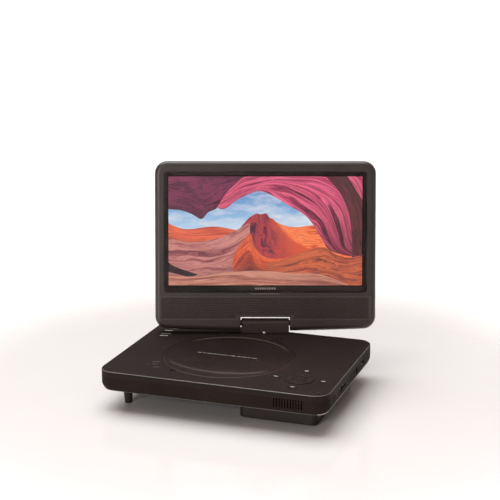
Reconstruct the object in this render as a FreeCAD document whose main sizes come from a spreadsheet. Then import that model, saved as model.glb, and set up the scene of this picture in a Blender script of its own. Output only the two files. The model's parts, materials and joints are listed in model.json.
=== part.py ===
"""Portable disc player: a lidded nine-inch screen on a swivel and tilt hinge over a disc deck.

Three frames are used. "base" is centred on the lower half with the table at z = 0, x to the
right and y to the back. "hinge" stands on the swivel axis at the top of the lower half. "lid"
has its origin in the tilt axis: x along the axis, y up the screen, z out of the screen.
"""

import FreeCAD, Part
import math
import operator
import os
import types

import Sketcher
from FreeCAD import Placement, Rotation, Vector

SIZES = {
    # where the lower half's centre stands, so that the origin is under the middle of the whole
    "frame_x": 1.4,
    "frame_y": -30.5,
    # lower half
    "base_width": 226.0,
    "base_depth": 174.0,
    "top_level": 40.0,
    "seam_level": 35.2,
    "floor_level": 18.9,
    "base_corner": 15.0,
    "under_radius": 8.5,
    "top_edge": 1.2,
    "wall": 2.0,
    "top_skin": 2.2,
    "post_outer": 3.0,
    "vent_x": 76.6,
    "vent_low": 25.0,
    "vent_width": 1.2,
    "vent_height": 9.2,
    "lamp_x": -74.5,
    "lamp_y": -54.0,
    "lamp_radius": 1.15,
    "scoop_x": -44.6,
    "scoop_y": -62.8,
    "scoop_outer": 3.3,
    "scoop_inner": 2.4,
    "scoop_depth": 1.4,
    "bumper_x": 103.0,
    "bumper_y": -79.0,
    "bumper_radius": 1.5,
    "bumper_tip": 1.0,
    # disc deck
    "deck_x": -9.3,
    "deck_y": -5.2,
    "door_radius": 64.4,
    "door_gap": 0.3,
    "door_thick": 2.0,
    "door_pivot_y": 62.0,
    "door_pivot_drop": 1.1,
    "lug_spread": 30.0,
    "lug_width": 8.0,
    "door_pin": 0.7,
    "well_radius": 61.8,
    "tray_floor": 30.0,
    "tray_skin": 1.5,
    "hub_radius": 7.35,
    "hub_flange": 14.5,
    "hub_low": 30.6,
    "hub_flange_thick": 1.9,
    "hub_boss_height": 1.8,
    "motor_shaft": 0.75,
    "crescent_depth": 0.7,
    "crescent_rim": 4.0,
    "crescent_arc": 80.0,
    "crescent_offset": 33.0,
    "rod_spread": 16.5,
    "rod_radius": 1.2,
    "screw_offset": 24.0,
    "screw_radius": 1.5,
    "drive_level": 27.0,
    "lens_start": 24.0,
    "chassis_level": 23.2,
    "chassis_skin": 1.0,
    # keys on the top
    "pad_x": 76.0,
    "pad_y": -48.0,
    "pad_reach": 23.0,
    "ring_outer": 14.2,
    "ring_inner": 6.6,
    "centre_key": 6.2,
    "key_gap": 0.3,
    "key_proud": 0.5,
    "key_skin": 1.7,
    "stem_radius": 1.2,
    "stem_length": 2.1,
    "pill_length": 9.0,
    "pill_width": 4.6,
    # sockets and controls on the right side
    "side_level": 30.5,
    "board_level": 24.0,
    "board_skin": 1.2,
    "jack_bore": 1.8,
    "jack_nose": 3.0,
    "jack_depth": 14.0,
    "power_y": 48.7,
    "supply_y": 19.6,
    "picture_y": -12.0,
    "wheel_y": -31.0,
    "phones_y": -49.0,
    "wheel_radius": 9.0,
    "wheel_thick": 2.4,
    "wheel_proud": 1.4,
    # battery and feet
    "pack_x": 20.6,
    "pack_y": -60.5,
    "pack_width": 76.0,
    "pack_depth": 105.0,
    "pack_corner": 5.0,
    "pack_lift": 0.5,
    "pack_seam": 17.2,
    "pack_wall": 1.6,
    "cell_spacing": 33.5,
    "latch_x": 58.5,
    "foot_top": 5.5,
    "foot_tip": 3.5,
    # swivel and tilt hinge
    "swivel_y": 79.25,
    "swivel_angle": 18.9,
    "lean_angle": 10.7,
    "axis_rise": 9.73,
    "post_radius": 4.0,
    "post_length": 19.1,
    "bush_outer": 5.6,
    "bush_low": 27.4,
    "nut_radius": 4.9,
    "running_gap": 0.05,
    "barrel_radius": 4.8,
    "barrel_length": 48.8,
    "shaft_radius": 2.9,
    # lid
    "lid_half": 113.0,
    "lid_top": 166.3,
    "lid_drop": 7.8,
    "lid_bow": 2250.0,
    "lid_corner": 13.0,
    "lid_front": 8.2,
    "lid_back": 6.3,
    "lid_seam": 0.5,
    "front_edge": 5.0,
    "back_edge": 4.0,
    "notch_half": 25.4,
    "notch_top": 6.7,
    "glass_half": 103.7,
    "glass_low": 31.9,
    "glass_high": 155.7,
    "glass_corner": 4.0,
    "glass_thick": 1.2,
    "picture_half": 99.0,
    "picture_low": 39.3,
    "picture_high": 150.7,
    "grille_half": 108.5,
    "grille_low": 3.6,
    "grille_high": 28.3,
    "grille_skin": 1.2,
    "bezel_skin": 2.0,
    "sheet_inset": 0.2,
    "speaker_x": 88.0,
    "speaker_y": 16.0,
    "bracket_x": 33.5,
    "bracket_length": 11.6,
}

doc = FreeCAD.newDocument("portable_disc_player")
sheet = doc.addObject("Spreadsheet::Sheet", "Sizes")
for row, (alias, number) in enumerate(SIZES.items(), start=1):
    sheet.set(f"A{row}", alias.replace("_", " "))
    sheet.set(f"B{row}", str(number))
    sheet.setAlias(f"B{row}", alias)
doc.recompute()


class Size:
    """A number, with the expression that gives it from the sheet."""

    def __init__(self, number, text):
        self.number = number
        self.text = text

    def __add__(self, other):
        return joined(self, "+", other)

    def __radd__(self, other):
        return joined(other, "+", self)

    def __sub__(self, other):
        return joined(self, "-", other)

    def __rsub__(self, other):
        return joined(other, "-", self)

    def __mul__(self, other):
        return joined(self, "*", other)

    def __rmul__(self, other):
        return joined(other, "*", self)

    def __truediv__(self, other):
        return joined(self, "/", other)

    def __neg__(self):
        return joined(0.0, "-", self)


OPERATORS = {
    "+": operator.add,
    "-": operator.sub,
    "*": operator.mul,
    "/": operator.truediv,
}


def as_size(value):
    return value if isinstance(value, Size) else Size(float(value), f"{float(value):.6f}")


def joined(left, sign, right):
    left, right = as_size(left), as_size(right)
    number = OPERATORS[sign](left.number, right.number)
    return Size(number, f"({left.text} {sign} {right.text})")


S = types.SimpleNamespace(
    **{name: Size(float(sheet.get(name)), "Sizes." + name) for name in SIZES}
)

ALONG = {
    "x": Rotation(Vector(0, 1, 0), 90),
    "y": Rotation(Vector(1, 0, 0), -90),
    "z": Rotation(),
}
ORIGIN = (0, 0, 0)


# ---------------------------------------------------------------- building blocks


def bind(item, **sizes):
    """Bind properties to the sheet."""
    for name, value in sizes.items():
        item.setExpression(name, as_size(value).text)


def put(item, at, turn=Rotation()):
    """Place an item, with each coordinate bound to the sheet."""
    item.Placement = Placement(Vector(), turn)
    for axis, value in zip("xyz", at):
        item.setExpression("Placement.Base." + axis, as_size(value).text)
    return item


def box(name, low, spans):
    item = doc.addObject("Part::Box", name)
    bind(item, Length=spans[0], Width=spans[1], Height=spans[2])
    return put(item, low)


def slab(name, centre, low, spans):
    """A box centred on x and y, standing on the level low."""
    corner = (centre[0] - as_size(spans[0]) / 2, centre[1] - as_size(spans[1]) / 2, low)
    return box(name, corner, spans)


def rod(name, at, radius, length, along="z"):
    item = doc.addObject("Part::Cylinder", name)
    bind(item, Radius=radius, Height=length)
    return put(item, at, ALONG[along])


def cone(name, at, low_radius, high_radius, length):
    item = doc.addObject("Part::Cone", name)
    bind(item, Radius1=low_radius, Radius2=high_radius, Height=length)
    return put(item, at)


def fuse(name, *items):
    item = doc.addObject("Part::MultiFuse", name)
    item.Shapes = list(items)
    return item


def cut(name, base, *tools):
    item = doc.addObject("Part::Cut", name)
    item.Base = base
    item.Tool = tools[0] if len(tools) == 1 else fuse(name + "_tools", *tools)
    return item


def origin_plane(body, role):
    return next(plane for plane in body.Origin.OriginFeatures if plane.Role == role)


def edges_at(shape, level):
    """The names of a shape's edges that lie at one height."""
    return [
        f"Edge{number}"
        for number, edge in enumerate(shape.Edges, start=1)
        if abs(edge.BoundBox.ZMin - level) < 1e-4 and abs(edge.BoundBox.ZMax - level) < 1e-4
    ]


def corner_arc(x, y, radius, start):
    """A quarter circle, from the angle start in degrees."""
    circle = Part.Circle(Vector(x, y, 0), Vector(0, 0, 1), radius)
    return Part.ArcOfCircle(circle, math.radians(start), math.radians(start + 90))


def outline(sketch, half, low, high, radius, bow=None):
    """A round-cornered outline between y = low and high, its lower side bowed where bow is given."""
    x, y0, y1, r = half.number, low.number, high.number, radius.number
    if bow:
        reach = math.asin((x - r) / (bow.number - r))
        middle = Vector(0, y0 + bow.number, 0)
        lower = Part.ArcOfCircle(
            Part.Circle(middle, Vector(0, 0, 1), bow.number),
            -math.pi / 2 - reach,
            -math.pi / 2 + reach,
        )
    else:
        lower = Part.LineSegment(Vector(r - x, y0, 0), Vector(x - r, y0, 0))
    sides = [
        lower,
        corner_arc(x - r, y0 + r, r, -90),
        Part.LineSegment(Vector(x, y0 + r, 0), Vector(x, y1 - r, 0)),
        corner_arc(x - r, y1 - r, r, 0),
        Part.LineSegment(Vector(x - r, y1, 0), Vector(r - x, y1, 0)),
        corner_arc(r - x, y1 - r, r, 90),
        Part.LineSegment(Vector(-x, y1 - r, 0), Vector(-x, y0 + r, 0)),
        corner_arc(r - x, y0 + r, r, 180),
    ]
    sketch.addGeometry(sides, False)
    for side in range(8):
        sketch.addConstraint(Sketcher.Constraint("Tangent", side, 2, (side + 1) % 8, 1))
    for side in (3, 5, 7):
        sketch.addConstraint(Sketcher.Constraint("Equal", 1, side))
    sketch.addConstraint(Sketcher.Constraint("Horizontal", 4))
    sketch.addConstraint(Sketcher.Constraint("Vertical", 2))
    sketch.addConstraint(Sketcher.Constraint("Vertical", 6))
    bound = [
        (("Radius", 1), radius),
        (("DistanceX", -1, 1, 2, 1), half),
        (("DistanceX", 6, 1, -1, 1), half),
        (("DistanceY", -1, 1, 4, 1), high),
    ]
    if bow:
        sketch.addConstraint(Sketcher.Constraint("PointOnObject", 0, 3, -2))
        bound += [(("Radius", 0), bow), (("DistanceY", -1, 1, 0, 3), low + bow)]
    else:
        sketch.addConstraint(Sketcher.Constraint("Horizontal", 0))
        bound += [(("DistanceY", -1, 1, 0, 1), low)]
    for kind, value in bound:
        place = sketch.addConstraint(Sketcher.Constraint(*kind, value.number))
        sketch.setExpression(f"Constraints[{place}]", value.text)


def padded(name, half, low, high, radius, thick, at=ORIGIN, edge=None, edge_on=None, bow=None):
    """A body padded up from a round-cornered outline, with its low or high rim rounded."""
    body = doc.addObject("PartDesign::Body", name)
    sketch = body.newObject("Sketcher::SketchObject", name + "_outline")
    sketch.AttachmentSupport = [(origin_plane(body, "XY_Plane"), "")]
    sketch.MapMode = "FlatFace"
    outline(sketch, *[as_size(value) for value in (half, low, high, radius)], bow)
    pad = body.newObject("PartDesign::Pad", name + "_pad")
    pad.Profile = sketch
    bind(pad, Length=thick)
    sketch.Visibility = False
    if edge:
        doc.recompute()
        level = as_size(thick).number if edge_on == "high" else 0.0
        rounding = body.newObject("PartDesign::Fillet", name + "_rim")
        rounding.Base = (pad, edges_at(pad.Shape, level))
        bind(rounding, Radius=edge)
        body.Tip = rounding
    put(body, at)
    return body


def plate(name, centre, low, spans, radius, **rim):
    """A centred round-cornered plate: spans are its length, width and thickness."""
    length, width, thick = [as_size(value) for value in spans]
    at = (centre[0], centre[1], low)
    return padded(name, length / 2, -(width / 2), width / 2, radius, thick, at, **rim)


NODES = []


def node(name, frame, *items):
    """Gather a sub-part's solids under the name of its file."""
    item = doc.addObject("Part::Compound", name)
    item.Label = name
    item.Links = list(items)
    NODES.append((item, frame))
    return item


# ---------------------------------------------------------------- lower half: the case

DECK = (S.deck_x, S.deck_y)
PAD = (S.pad_x, S.pad_y)
SIDE = S.base_width / 2
SKIN_UNDER = S.top_level - S.top_skin
FLOOR_INSIDE = S.floor_level + S.wall
BOSSES = [(-103, -66), (-103, 66), (103, -66), (103, 66), (-30, -77), (38, 72)]
PILLS = {
    "key_menu": (0, 1),
    "key_stop": (-1, 0),
    "key_play": (1, 0),
    "key_source": (0, -1),
}
BOSS_SPLIT = 30.0
VENT_COUNT = 11
VENT_PITCH = 2.65
FEET = [(-94, -57), (-90, 76), (88, 76)]
THROUGH = 20  # long enough to pass right through any wall
PIN_REACH = 7.1  # half the length of a door hinge pin's bore
BOARD_TOP = S.board_level + S.board_skin


def case_envelope(name):
    """The lower half's outer shape below the seam, solid."""
    return plate(
        name,
        (0, 0),
        S.floor_level,
        (S.base_width, S.base_depth, S.seam_level - S.floor_level),
        S.base_corner,
        edge=S.under_radius,
        edge_on="low",
    )


def vents():
    """Upright slots through the front wall."""
    first = S.vent_x - VENT_PITCH * (VENT_COUNT - 1) / 2
    return [
        slab(
            f"vent_{number}",
            (first + VENT_PITCH * number, -S.base_depth / 2),
            S.vent_low,
            (S.vent_width, 4 * S.wall, S.vent_height),
        )
        for number in range(VENT_COUNT)
    ]


def bottom_case():
    hollow = plate(
        "bottom_hollow",
        (0, 0),
        FLOOR_INSIDE,
        (
            S.base_width - 2 * S.wall,
            S.base_depth - 2 * S.wall,
            S.seam_level - S.floor_level,
        ),
        S.base_corner - S.wall,
        edge=S.under_radius - S.wall,
        edge_on="low",
    )
    shell = cut("bottom_shell", case_envelope("bottom_outer"), hollow)
    posts = [
        rod(
            f"bottom_boss_{n}",
            (x, y, FLOOR_INSIDE - 0.5),
            S.post_outer,
            BOSS_SPLIT - FLOOR_INSIDE + 0.5,
        )
        for n, (x, y) in enumerate(BOSSES)
    ]
    holes = []
    for n, (x, y) in enumerate(BOSSES):
        holes.append(rod(f"boss_bore_{n}", (x, y, S.floor_level - 1), 1.5, THROUGH))
        holes.append(rod(f"boss_sink_{n}", (x, y, S.floor_level - 1), 2.9, 2.6))
    side_x = SIDE - 2 * S.wall
    level = S.side_level
    holes += [
        rod("supply_hole", (side_x, S.supply_y, level), 3.3, 10, "x"),
        rod("picture_hole", (side_x, S.picture_y, level), S.jack_nose + 0.05, 10, "x"),
        rod("phones_hole", (side_x, S.phones_y, level), S.jack_nose + 0.05, 10, "x"),
        box("wheel_slot", (side_x, S.wheel_y - 8.4, level - 1.6), (10, 16.8, 3.2)),
        box("power_slot", (side_x, S.power_y - 4.5, level - 1.4), (10, 9, 2.8)),
        box("latch_slot", (S.latch_x - 3.5, 49, S.floor_level - 1), (7, 8, 5)),
    ]
    body = cut("bottom_case", fuse("bottom_solid", shell, *posts), *holes, *vents())
    node("base_bottom_case", "base", body)


def lug_places():
    return [("left", S.deck_x - S.lug_spread), ("right", S.deck_x + S.lug_spread)]


def top_case():
    outer = plate(
        "top_outer",
        (0, 0),
        S.seam_level,
        (S.base_width, S.base_depth, S.top_level - S.seam_level),
        S.base_corner,
        edge=S.top_edge,
        edge_on="high",
    )
    hollow = plate(
        "top_hollow",
        (0, 0),
        S.seam_level - 1,
        (
            S.base_width - 2 * S.wall,
            S.base_depth - 2 * S.wall,
            SKIN_UNDER - S.seam_level + 1,
        ),
        S.base_corner - S.wall,
    )
    shell = cut("top_shell", outer, hollow)
    posts = [
        rod(f"top_boss_{n}", (x, y, BOSS_SPLIT), S.post_outer, SKIN_UNDER - BOSS_SPLIT + 0.5)
        for n, (x, y) in enumerate(BOSSES)
    ]
    pivots = []
    holes = []
    pin_level = S.top_level - S.door_pivot_drop
    for side, x in lug_places():
        pivots.append(slab(f"{side}_pivot_boss", (x, S.door_pivot_y), 36.4, (15.4, 5.0, 1.6)))
        holes.append(
            box(
                f"{side}_lug_notch",
                (x - S.lug_width / 2 - S.door_gap, 49, 35.4),
                (S.lug_width + 2 * S.door_gap, 15.0, 6),
            )
        )
        bore = S.door_pin + S.running_gap
        start = (x - PIN_REACH, S.door_pivot_y, pin_level)
        holes.append(rod(f"{side}_pin_bore", start, bore, 2 * PIN_REACH, "x"))
    for n, (x, y) in enumerate(BOSSES):
        holes.append(rod(f"thread_{n}", (x, y, BOSS_SPLIT - 1), S.rod_radius, 7))
    low = SKIN_UNDER - 1
    holes += [
        rod("door_hole", (*DECK, low), S.door_radius + S.door_gap, 6),
        rod("ring_hole", (*PAD, low), S.ring_outer + S.key_gap, 6),
        rod("swivel_hole", (0, S.swivel_y, low), S.bush_outer, 6),
        rod("lamp_hole", (S.lamp_x, S.lamp_y, low), S.lamp_radius + S.running_gap, 6),
        cone(
            "lift_scoop",
            (S.scoop_x, S.scoop_y, S.top_level - S.scoop_depth),
            S.scoop_inner,
            S.scoop_outer,
            S.scoop_depth + 0.1,
        ),
    ]
    for name, (right, back) in PILLS.items():
        centre = (S.pad_x + right * S.pad_reach, S.pad_y + back * S.pad_reach)
        spans = (S.pill_length + 2 * S.key_gap, S.pill_width + 2 * S.key_gap, 6)
        holes.append(plate(name + "_hole", centre, low, spans, S.pill_width / 2 + S.key_gap - 0.02))
    body = cut("top_body", fuse("top_solid", shell, *posts, *pivots), *holes)
    node("base_top_case", "base", body)


def case_screws():
    head = 1.5
    items = []
    for n, (x, y) in enumerate(BOSSES):
        under = S.floor_level + 0.1
        items.append(
            fuse(
                f"case_screw_{n}",
                rod(f"case_head_{n}", (x, y, under), 2.6, head),
                rod(f"case_shank_{n}", (x, y, under + head), S.rod_radius, 14.0),
            )
        )
    node("base_screws", "base", *items)


# ---------------------------------------------------------------- disc deck


def disc_tray():
    rim = S.well_radius + S.tray_skin
    cup = rod("tray_cup", (*DECK, S.tray_floor), rim, SKIN_UNDER - S.tray_floor)
    flange = rod("tray_flange", (*DECK, SKIN_UNDER - 1.2), 65.9, 1.2)
    floor = S.tray_floor + S.tray_skin
    well = rod("tray_well", (*DECK, floor), S.well_radius, 12)
    centre = rod("tray_centre", (*DECK, 28), 17.0, 6)
    slot = box("tray_slot", (S.deck_x - 18, S.deck_y - 60, 28), (36, 60, 6))
    body = cut("tray_body", fuse("tray_solid", cup, flange), well, centre, slot)
    node("disc_tray", "base", body)


def disc_door():
    level = S.top_level - S.door_thick
    plate_round = rod("door_round", (*DECK, level), S.door_radius, S.door_thick)
    lugs = [
        box(f"{side}_lug", (x - S.lug_width / 2, 50.5, level), (S.lug_width, 12.8, S.door_thick))
        for side, x in lug_places()
    ]
    bores = [
        rod(
            f"{side}_lug_bore",
            (x - 7, S.door_pivot_y, S.top_level - S.door_pivot_drop),
            S.door_pin,
            14,
            "x",
        )
        for side, x in lug_places()
    ]
    hollows = []
    for side, sign in (("back", 1), ("front", -1)):
        level_under = S.top_level - S.crescent_depth
        round_area = rod(f"{side}_round", (*DECK, level_under), S.door_radius - S.crescent_rim, 2)
        arc_centre = (S.deck_x, S.deck_y - S.crescent_offset * sign, level_under - 1)
        arc = rod(f"{side}_arc", arc_centre, S.crescent_arc, 4)
        hollows.append(cut(f"{side}_crescent", round_area, arc))
    door = cut("door_body", fuse("door_solid", plate_round, *lugs), *bores, *hollows)
    node("disc_door", "base", door)
    pins = [
        rod(
            f"{side}_pin",
            (x - PIN_REACH + 0.2, S.door_pivot_y, S.top_level - S.door_pivot_drop),
            S.door_pin,
            2 * PIN_REACH - 0.4,
            "x",
        )
        for side, x in lug_places()
    ]
    node("door_hinge_pins", "base", *pins)


def spindle():
    motor_low = S.chassis_level + S.chassis_skin
    can = rod("motor_can", (*DECK, motor_low), 12.5, 5.6)
    shaft = rod("motor_shaft_rod", (*DECK, motor_low + 5), S.motor_shaft, 5)
    node("spindle_motor", "base", fuse("motor_body", can, shaft))
    boss_level = S.hub_low + S.hub_flange_thick
    nose_level = boss_level + S.hub_boss_height
    flange = rod("hub_flange_disc", (*DECK, S.hub_low), S.hub_flange, S.hub_flange_thick)
    boss = rod("hub_boss", (*DECK, boss_level), S.hub_radius, S.hub_boss_height)
    nose = cone("hub_nose", (*DECK, nose_level), S.hub_radius, 5.2, 1.4)
    bore = rod("hub_bore", (*DECK, S.hub_low - 1), S.motor_shaft + S.running_gap, 4.6)
    balls = [
        rod(
            f"ball_groove_{n}",
            (
                S.deck_x + 7.6 * math.cos(math.radians(turn)),
                S.deck_y + 7.6 * math.sin(math.radians(turn)),
                boss_level + 0.5,
            ),
            1.2,
            1.6,
        )
        for n, turn in enumerate((30, 150, 270))
    ]
    hub = cut("hub_body", fuse("hub_solid", flange, boss, nose), bore, *balls)
    node("spindle_hub", "base", hub)


def chassis_frame():
    low = S.chassis_level
    sheet_metal = plate("chassis_sheet", (-7.3, -18), low, (84, 112, S.chassis_skin), 4.0)
    window = box("chassis_window", (S.deck_x - 14, S.deck_y - 59, low - 1), (28, 42, 3))
    tabs = []
    rods = []
    front, back = S.deck_y - 64.5, S.deck_y - 12
    for side, sign in (("left", -1), ("right", 1)):
        x = S.deck_x + sign * S.rod_spread
        for end, y in (("front", front), ("back", back)):
            tabs.append(slab(f"rod_tab_{side}_{end}", (x, y), low + 0.5, (6, 2, 5.6)))
        rods.append(
            rod(f"guide_rod_{side}", (x, front - 1, S.drive_level), S.rod_radius, 54.5, "y")
        )
    screw_x = S.deck_x + S.screw_offset
    tabs.append(slab("screw_tab", (screw_x, front), low + 0.5, (6, 2, 5.6)))
    bores = [
        rod(
            f"rod_bore_{side}",
            (S.deck_x + sign * S.rod_spread, front - 2, S.drive_level),
            S.rod_radius,
            57,
            "y",
        )
        for side, sign in (("left", -1), ("right", 1))
    ]
    screw_bore = rod(
        "screw_bore", (screw_x, front - 2, S.drive_level), S.screw_radius + S.running_gap, 4, "y"
    )
    frame = cut("chassis_body", fuse("chassis_solid", sheet_metal, *tabs), window, screw_bore, *bores)
    node("deck_chassis", "base", frame)
    node("guide_rods", "base", *rods)
    corners = [(x, y) for x in (-44.3, 29.7) for y in (-69, 33)]
    dampers = [
        rod(f"damper_{n}", (x, y, FLOOR_INSIDE), 4.0, S.chassis_level - FLOOR_INSIDE)
        for n, (x, y) in enumerate(corners)
    ]
    node("rubber_dampers", "base", *dampers)


def pickup_drive():
    """The laser sled on its two rods, and the threaded shaft that moves it."""
    lens_y = S.deck_y - S.lens_start
    y = lens_y + 0.7
    level = S.drive_level - 2.0
    carriage = slab("sled_block", (S.deck_x, y), level, (38, 18, 4.2))
    arm = box("sled_arm", (S.deck_x + 18, y - 4, level), (9.6, 8, 4.2))
    holes = [
        rod(
            f"sled_hole_{side}",
            (S.deck_x + sign * S.rod_spread, y - 10, S.drive_level),
            S.rod_radius + S.running_gap,
            20,
            "y",
        )
        for side, sign in (("left", -1), ("right", 1))
    ]
    screw_x = S.deck_x + S.screw_offset
    holes.append(
        rod("sled_thread", (screw_x, y - 10, S.drive_level), S.screw_radius + S.key_gap, 20, "y")
    )
    node("pickup_sled", "base", cut("sled_body", fuse("sled_solid", carriage, arm), *holes))
    lens_ring = rod("lens_ring", (S.deck_x, lens_y, level + 4.2), 4.6, 0.7)
    lens = rod("lens_glass", (S.deck_x, lens_y, level + 4.9), 2.4, 0.5)
    node("pickup_lens", "base", fuse("lens_body", lens_ring, lens))
    front = S.deck_y - 65.5
    length = 50.0
    node(
        "lead_screw",
        "base",
        rod("screw_rod", (screw_x, front, S.drive_level), S.screw_radius, length, "y"),
    )
    motor_low = S.chassis_level + S.chassis_skin
    motor = slab("sled_can", (screw_x, front + length + 6.2), motor_low, (9, 12, 5.4))
    node("sled_motor", "base", motor)


# ---------------------------------------------------------------- boards, sockets and controls


def boards():
    node("main_board", "base", plate("main_sheet", (80, -4), S.board_level, (36, 128, S.board_skin), 2.0))
    chips = [
        slab("decoder_chip", (78, 10), BOARD_TOP, (14, 14, 1.4)),
        slab("memory_chip", (78, 32), BOARD_TOP, (10, 18, 1.1)),
        slab("driver_chip", (78, -22), BOARD_TOP, (9, 9, 1.2)),
        rod("smoothing_can", (74, -44, BOARD_TOP), 3.2, 6.5),
        slab("choke", (84, -60), BOARD_TOP, (8, 8, 4)),
    ]
    node("main_board_parts", "base", *chips)
    sheet_round = rod("key_board_clear", (*DECK, 34), S.well_radius + 3, 3)
    card = plate("key_board_sheet", (77, -47), 34.9, (54, 62, 1.1), 2.0)
    corner = rod("key_board_corner", (103, -66, 34), 3.4, 3)
    node("key_board", "base", cut("key_board_body", card, sheet_round, corner))


def socket(name, y):
    """A round plug socket: its body on the board and its nose in the side wall."""
    inner = SIDE - S.wall
    body = slab(name + "_block", (inner - 7.8, y), BOARD_TOP, (14.4, 7.6, 8.9))
    nose = rod(name + "_nose", (inner - 1, y, S.side_level), S.jack_nose, S.wall + 0.9, "x")
    bore = rod(name + "_bore", (SIDE - 0.1 - S.jack_depth, y, S.side_level), S.jack_bore, 20, "x")
    node(name, "base", cut(name + "_body", fuse(name + "_solid", body, nose), bore))


def supply_socket():
    inner = SIDE - S.wall
    block = slab("supply_block", (inner - 6.6, S.supply_y), BOARD_TOP, (12, 9, 9.5))
    bore = rod("supply_bore", (inner - 10, S.supply_y, S.side_level), 2.8, 14, "x")
    pin = rod("supply_pin", (inner - 10.5, S.supply_y, S.side_level), 0.7, 9.4, "x")
    body = fuse("supply_body", cut("supply_cup", block, bore), pin)
    node("supply_socket", "base", body)


def power_switch():
    inner = SIDE - S.wall
    can = slab("power_block", (inner - 3.4, S.power_y), BOARD_TOP, (6, 14, 8))
    node("power_switch", "base", can)
    shoe = box("power_shoe", (inner - 0.35, S.power_y - 4.3, S.side_level - 1.2), (1.2, 4.4, 2.4))
    grip = box("power_grip", (inner + 0.5, S.power_y - 4.1, S.side_level - 1.1), (2.6, 4.0, 2.2))
    ribs = [
        slab(f"power_rib_{n}", (SIDE + 1.1, S.power_y - 3.3 + 1.2 * n), S.side_level - 2, (0.7, 0.5, 4))
        for n in range(3)
    ]
    node("power_knob", "base", cut("power_knob_body", fuse("power_knob_solid", shoe, grip), *ribs))


def volume_control():
    centre_x = SIDE + S.wheel_proud - S.wheel_radius
    low = S.side_level - S.wheel_thick / 2
    pot = fuse(
        "pot_body",
        slab("pot_block", (centre_x, S.wheel_y), BOARD_TOP, (9, 9, 3.4)),
        rod("pot_shaft", (centre_x, S.wheel_y, 28), 1.5, 5),
    )
    node("volume_pot", "base", pot)
    disc = rod("wheel_disc", (centre_x, S.wheel_y, low), S.wheel_radius, S.wheel_thick)
    grooves = [
        rod(
            f"wheel_groove_{n}",
            (
                centre_x + 9.3 * math.cos(math.radians(n * 10)),
                S.wheel_y + 9.3 * math.sin(math.radians(n * 10)),
                low - 1,
            ),
            0.55,
            5,
        )
        for n in range(36)
    ]
    bore = rod("wheel_bore", (centre_x, S.wheel_y, low - 1), 1.5 + S.running_gap, 5)
    node("volume_wheel", "base", cut("wheel_body", disc, bore, *grooves))


def key_stem(name, x, y):
    low = S.top_level + S.key_proud - S.key_skin - S.stem_length
    return rod(name + "_stem", (x, y, low), S.stem_radius, S.stem_length + 0.2)


def keys():
    low = S.top_level + S.key_proud - S.key_skin
    cap = rod("centre_cap", (*PAD, low), S.centre_key, S.key_skin)
    node("key_ok", "base", fuse("centre_body", cap, key_stem("centre", *PAD)))
    for name, turn in {"key_right": 0, "key_up": 90, "key_left": 180, "key_down": 270}.items():
        sector = doc.addObject("Part::Cylinder", name + "_sector")
        bind(sector, Radius=S.ring_outer, Height=S.key_skin, Angle=87)
        put(sector, (*PAD, low), Rotation(Vector(0, 0, 1), turn - 43.5))
        inside = rod(name + "_inside", (*PAD, low - 1), S.ring_inner, 5)
        middle = (S.ring_outer.number + S.ring_inner.number) / 2
        x = S.pad_x + middle * math.cos(math.radians(turn))
        y = S.pad_y + middle * math.sin(math.radians(turn))
        cap = cut(name + "_cap", sector, inside)
        node(name, "base", fuse(name + "_body", cap, key_stem(name, x, y)))
    for name, (right, back) in PILLS.items():
        centre = (S.pad_x + right * S.pad_reach, S.pad_y + back * S.pad_reach)
        spans = (S.pill_length, S.pill_width, S.key_skin)
        cap = plate(name + "_cap", centre, low, spans, S.pill_width / 2 - 0.02)
        node(name, "base", fuse(name + "_body", cap, key_stem(name, *centre)))


def small_top_parts():
    lamp = rod("lamp_rod", (S.lamp_x, S.lamp_y, SKIN_UNDER), S.lamp_radius, S.top_skin)
    node("power_lamp", "base", lamp)
    bumpers = [
        fuse(
            f"bumper_{n}",
            rod(f"bumper_low_{n}", (x, S.bumper_y, S.top_level), S.bumper_radius, 0.8),
            cone(
                f"bumper_high_{n}",
                (x, S.bumper_y, S.top_level + 0.8),
                S.bumper_radius,
                S.bumper_tip,
                0.5,
            ),
        )
        for n, x in enumerate((-S.bumper_x, S.bumper_x))
    ]
    node("lid_bumpers", "base", *bumpers)


# ---------------------------------------------------------------- battery and feet


def battery():
    middle = (S.pack_x + S.pack_width / 2, S.pack_y + S.pack_depth / 2)
    height = S.pack_seam - S.pack_lift
    outer = plate(
        "pack_outer",
        middle,
        S.pack_lift,
        (S.pack_width, S.pack_depth, height),
        S.pack_corner,
        edge=S.top_edge,
        edge_on="low",
    )
    floor_of_pack = S.pack_lift + 1.8
    hollow = plate(
        "pack_hollow",
        middle,
        floor_of_pack,
        (S.pack_width - 2 * S.pack_wall, S.pack_depth - 2 * S.pack_wall, height),
        S.pack_corner - S.pack_wall,
    )
    node("battery_case", "base", cut("pack_cup", outer, hollow))
    cover = plate(
        "pack_lid",
        middle,
        S.pack_seam,
        (S.pack_width, S.pack_depth, S.floor_level - S.pack_seam),
        S.pack_corner,
    )
    node("battery_cover", "base", cover)
    cells = [
        plate(
            f"cell_{n}",
            (middle[0], S.pack_y + 19 + n * S.cell_spacing),
            floor_of_pack,
            (66, 32, 12.5),
            4.0,
        )
        for n in range(3)
    ]
    node("battery_cells", "base", *cells)
    pads = [
        rod(f"pad_{n}", (S.pack_x + x, S.pack_y + y, 0), 4.5, S.pack_lift)
        for n, (x, y) in enumerate([(9, 9), (64, 9), (9, 96), (64, 96)])
    ]
    node("battery_pads", "base", *pads)
    contacts = [
        slab(f"contact_{n}", (38 + 5 * n, 30), FLOOR_INSIDE, (1.0, 7.0, 2.6)) for n in range(4)
    ]
    node("battery_contacts", "base", *contacts)


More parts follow.
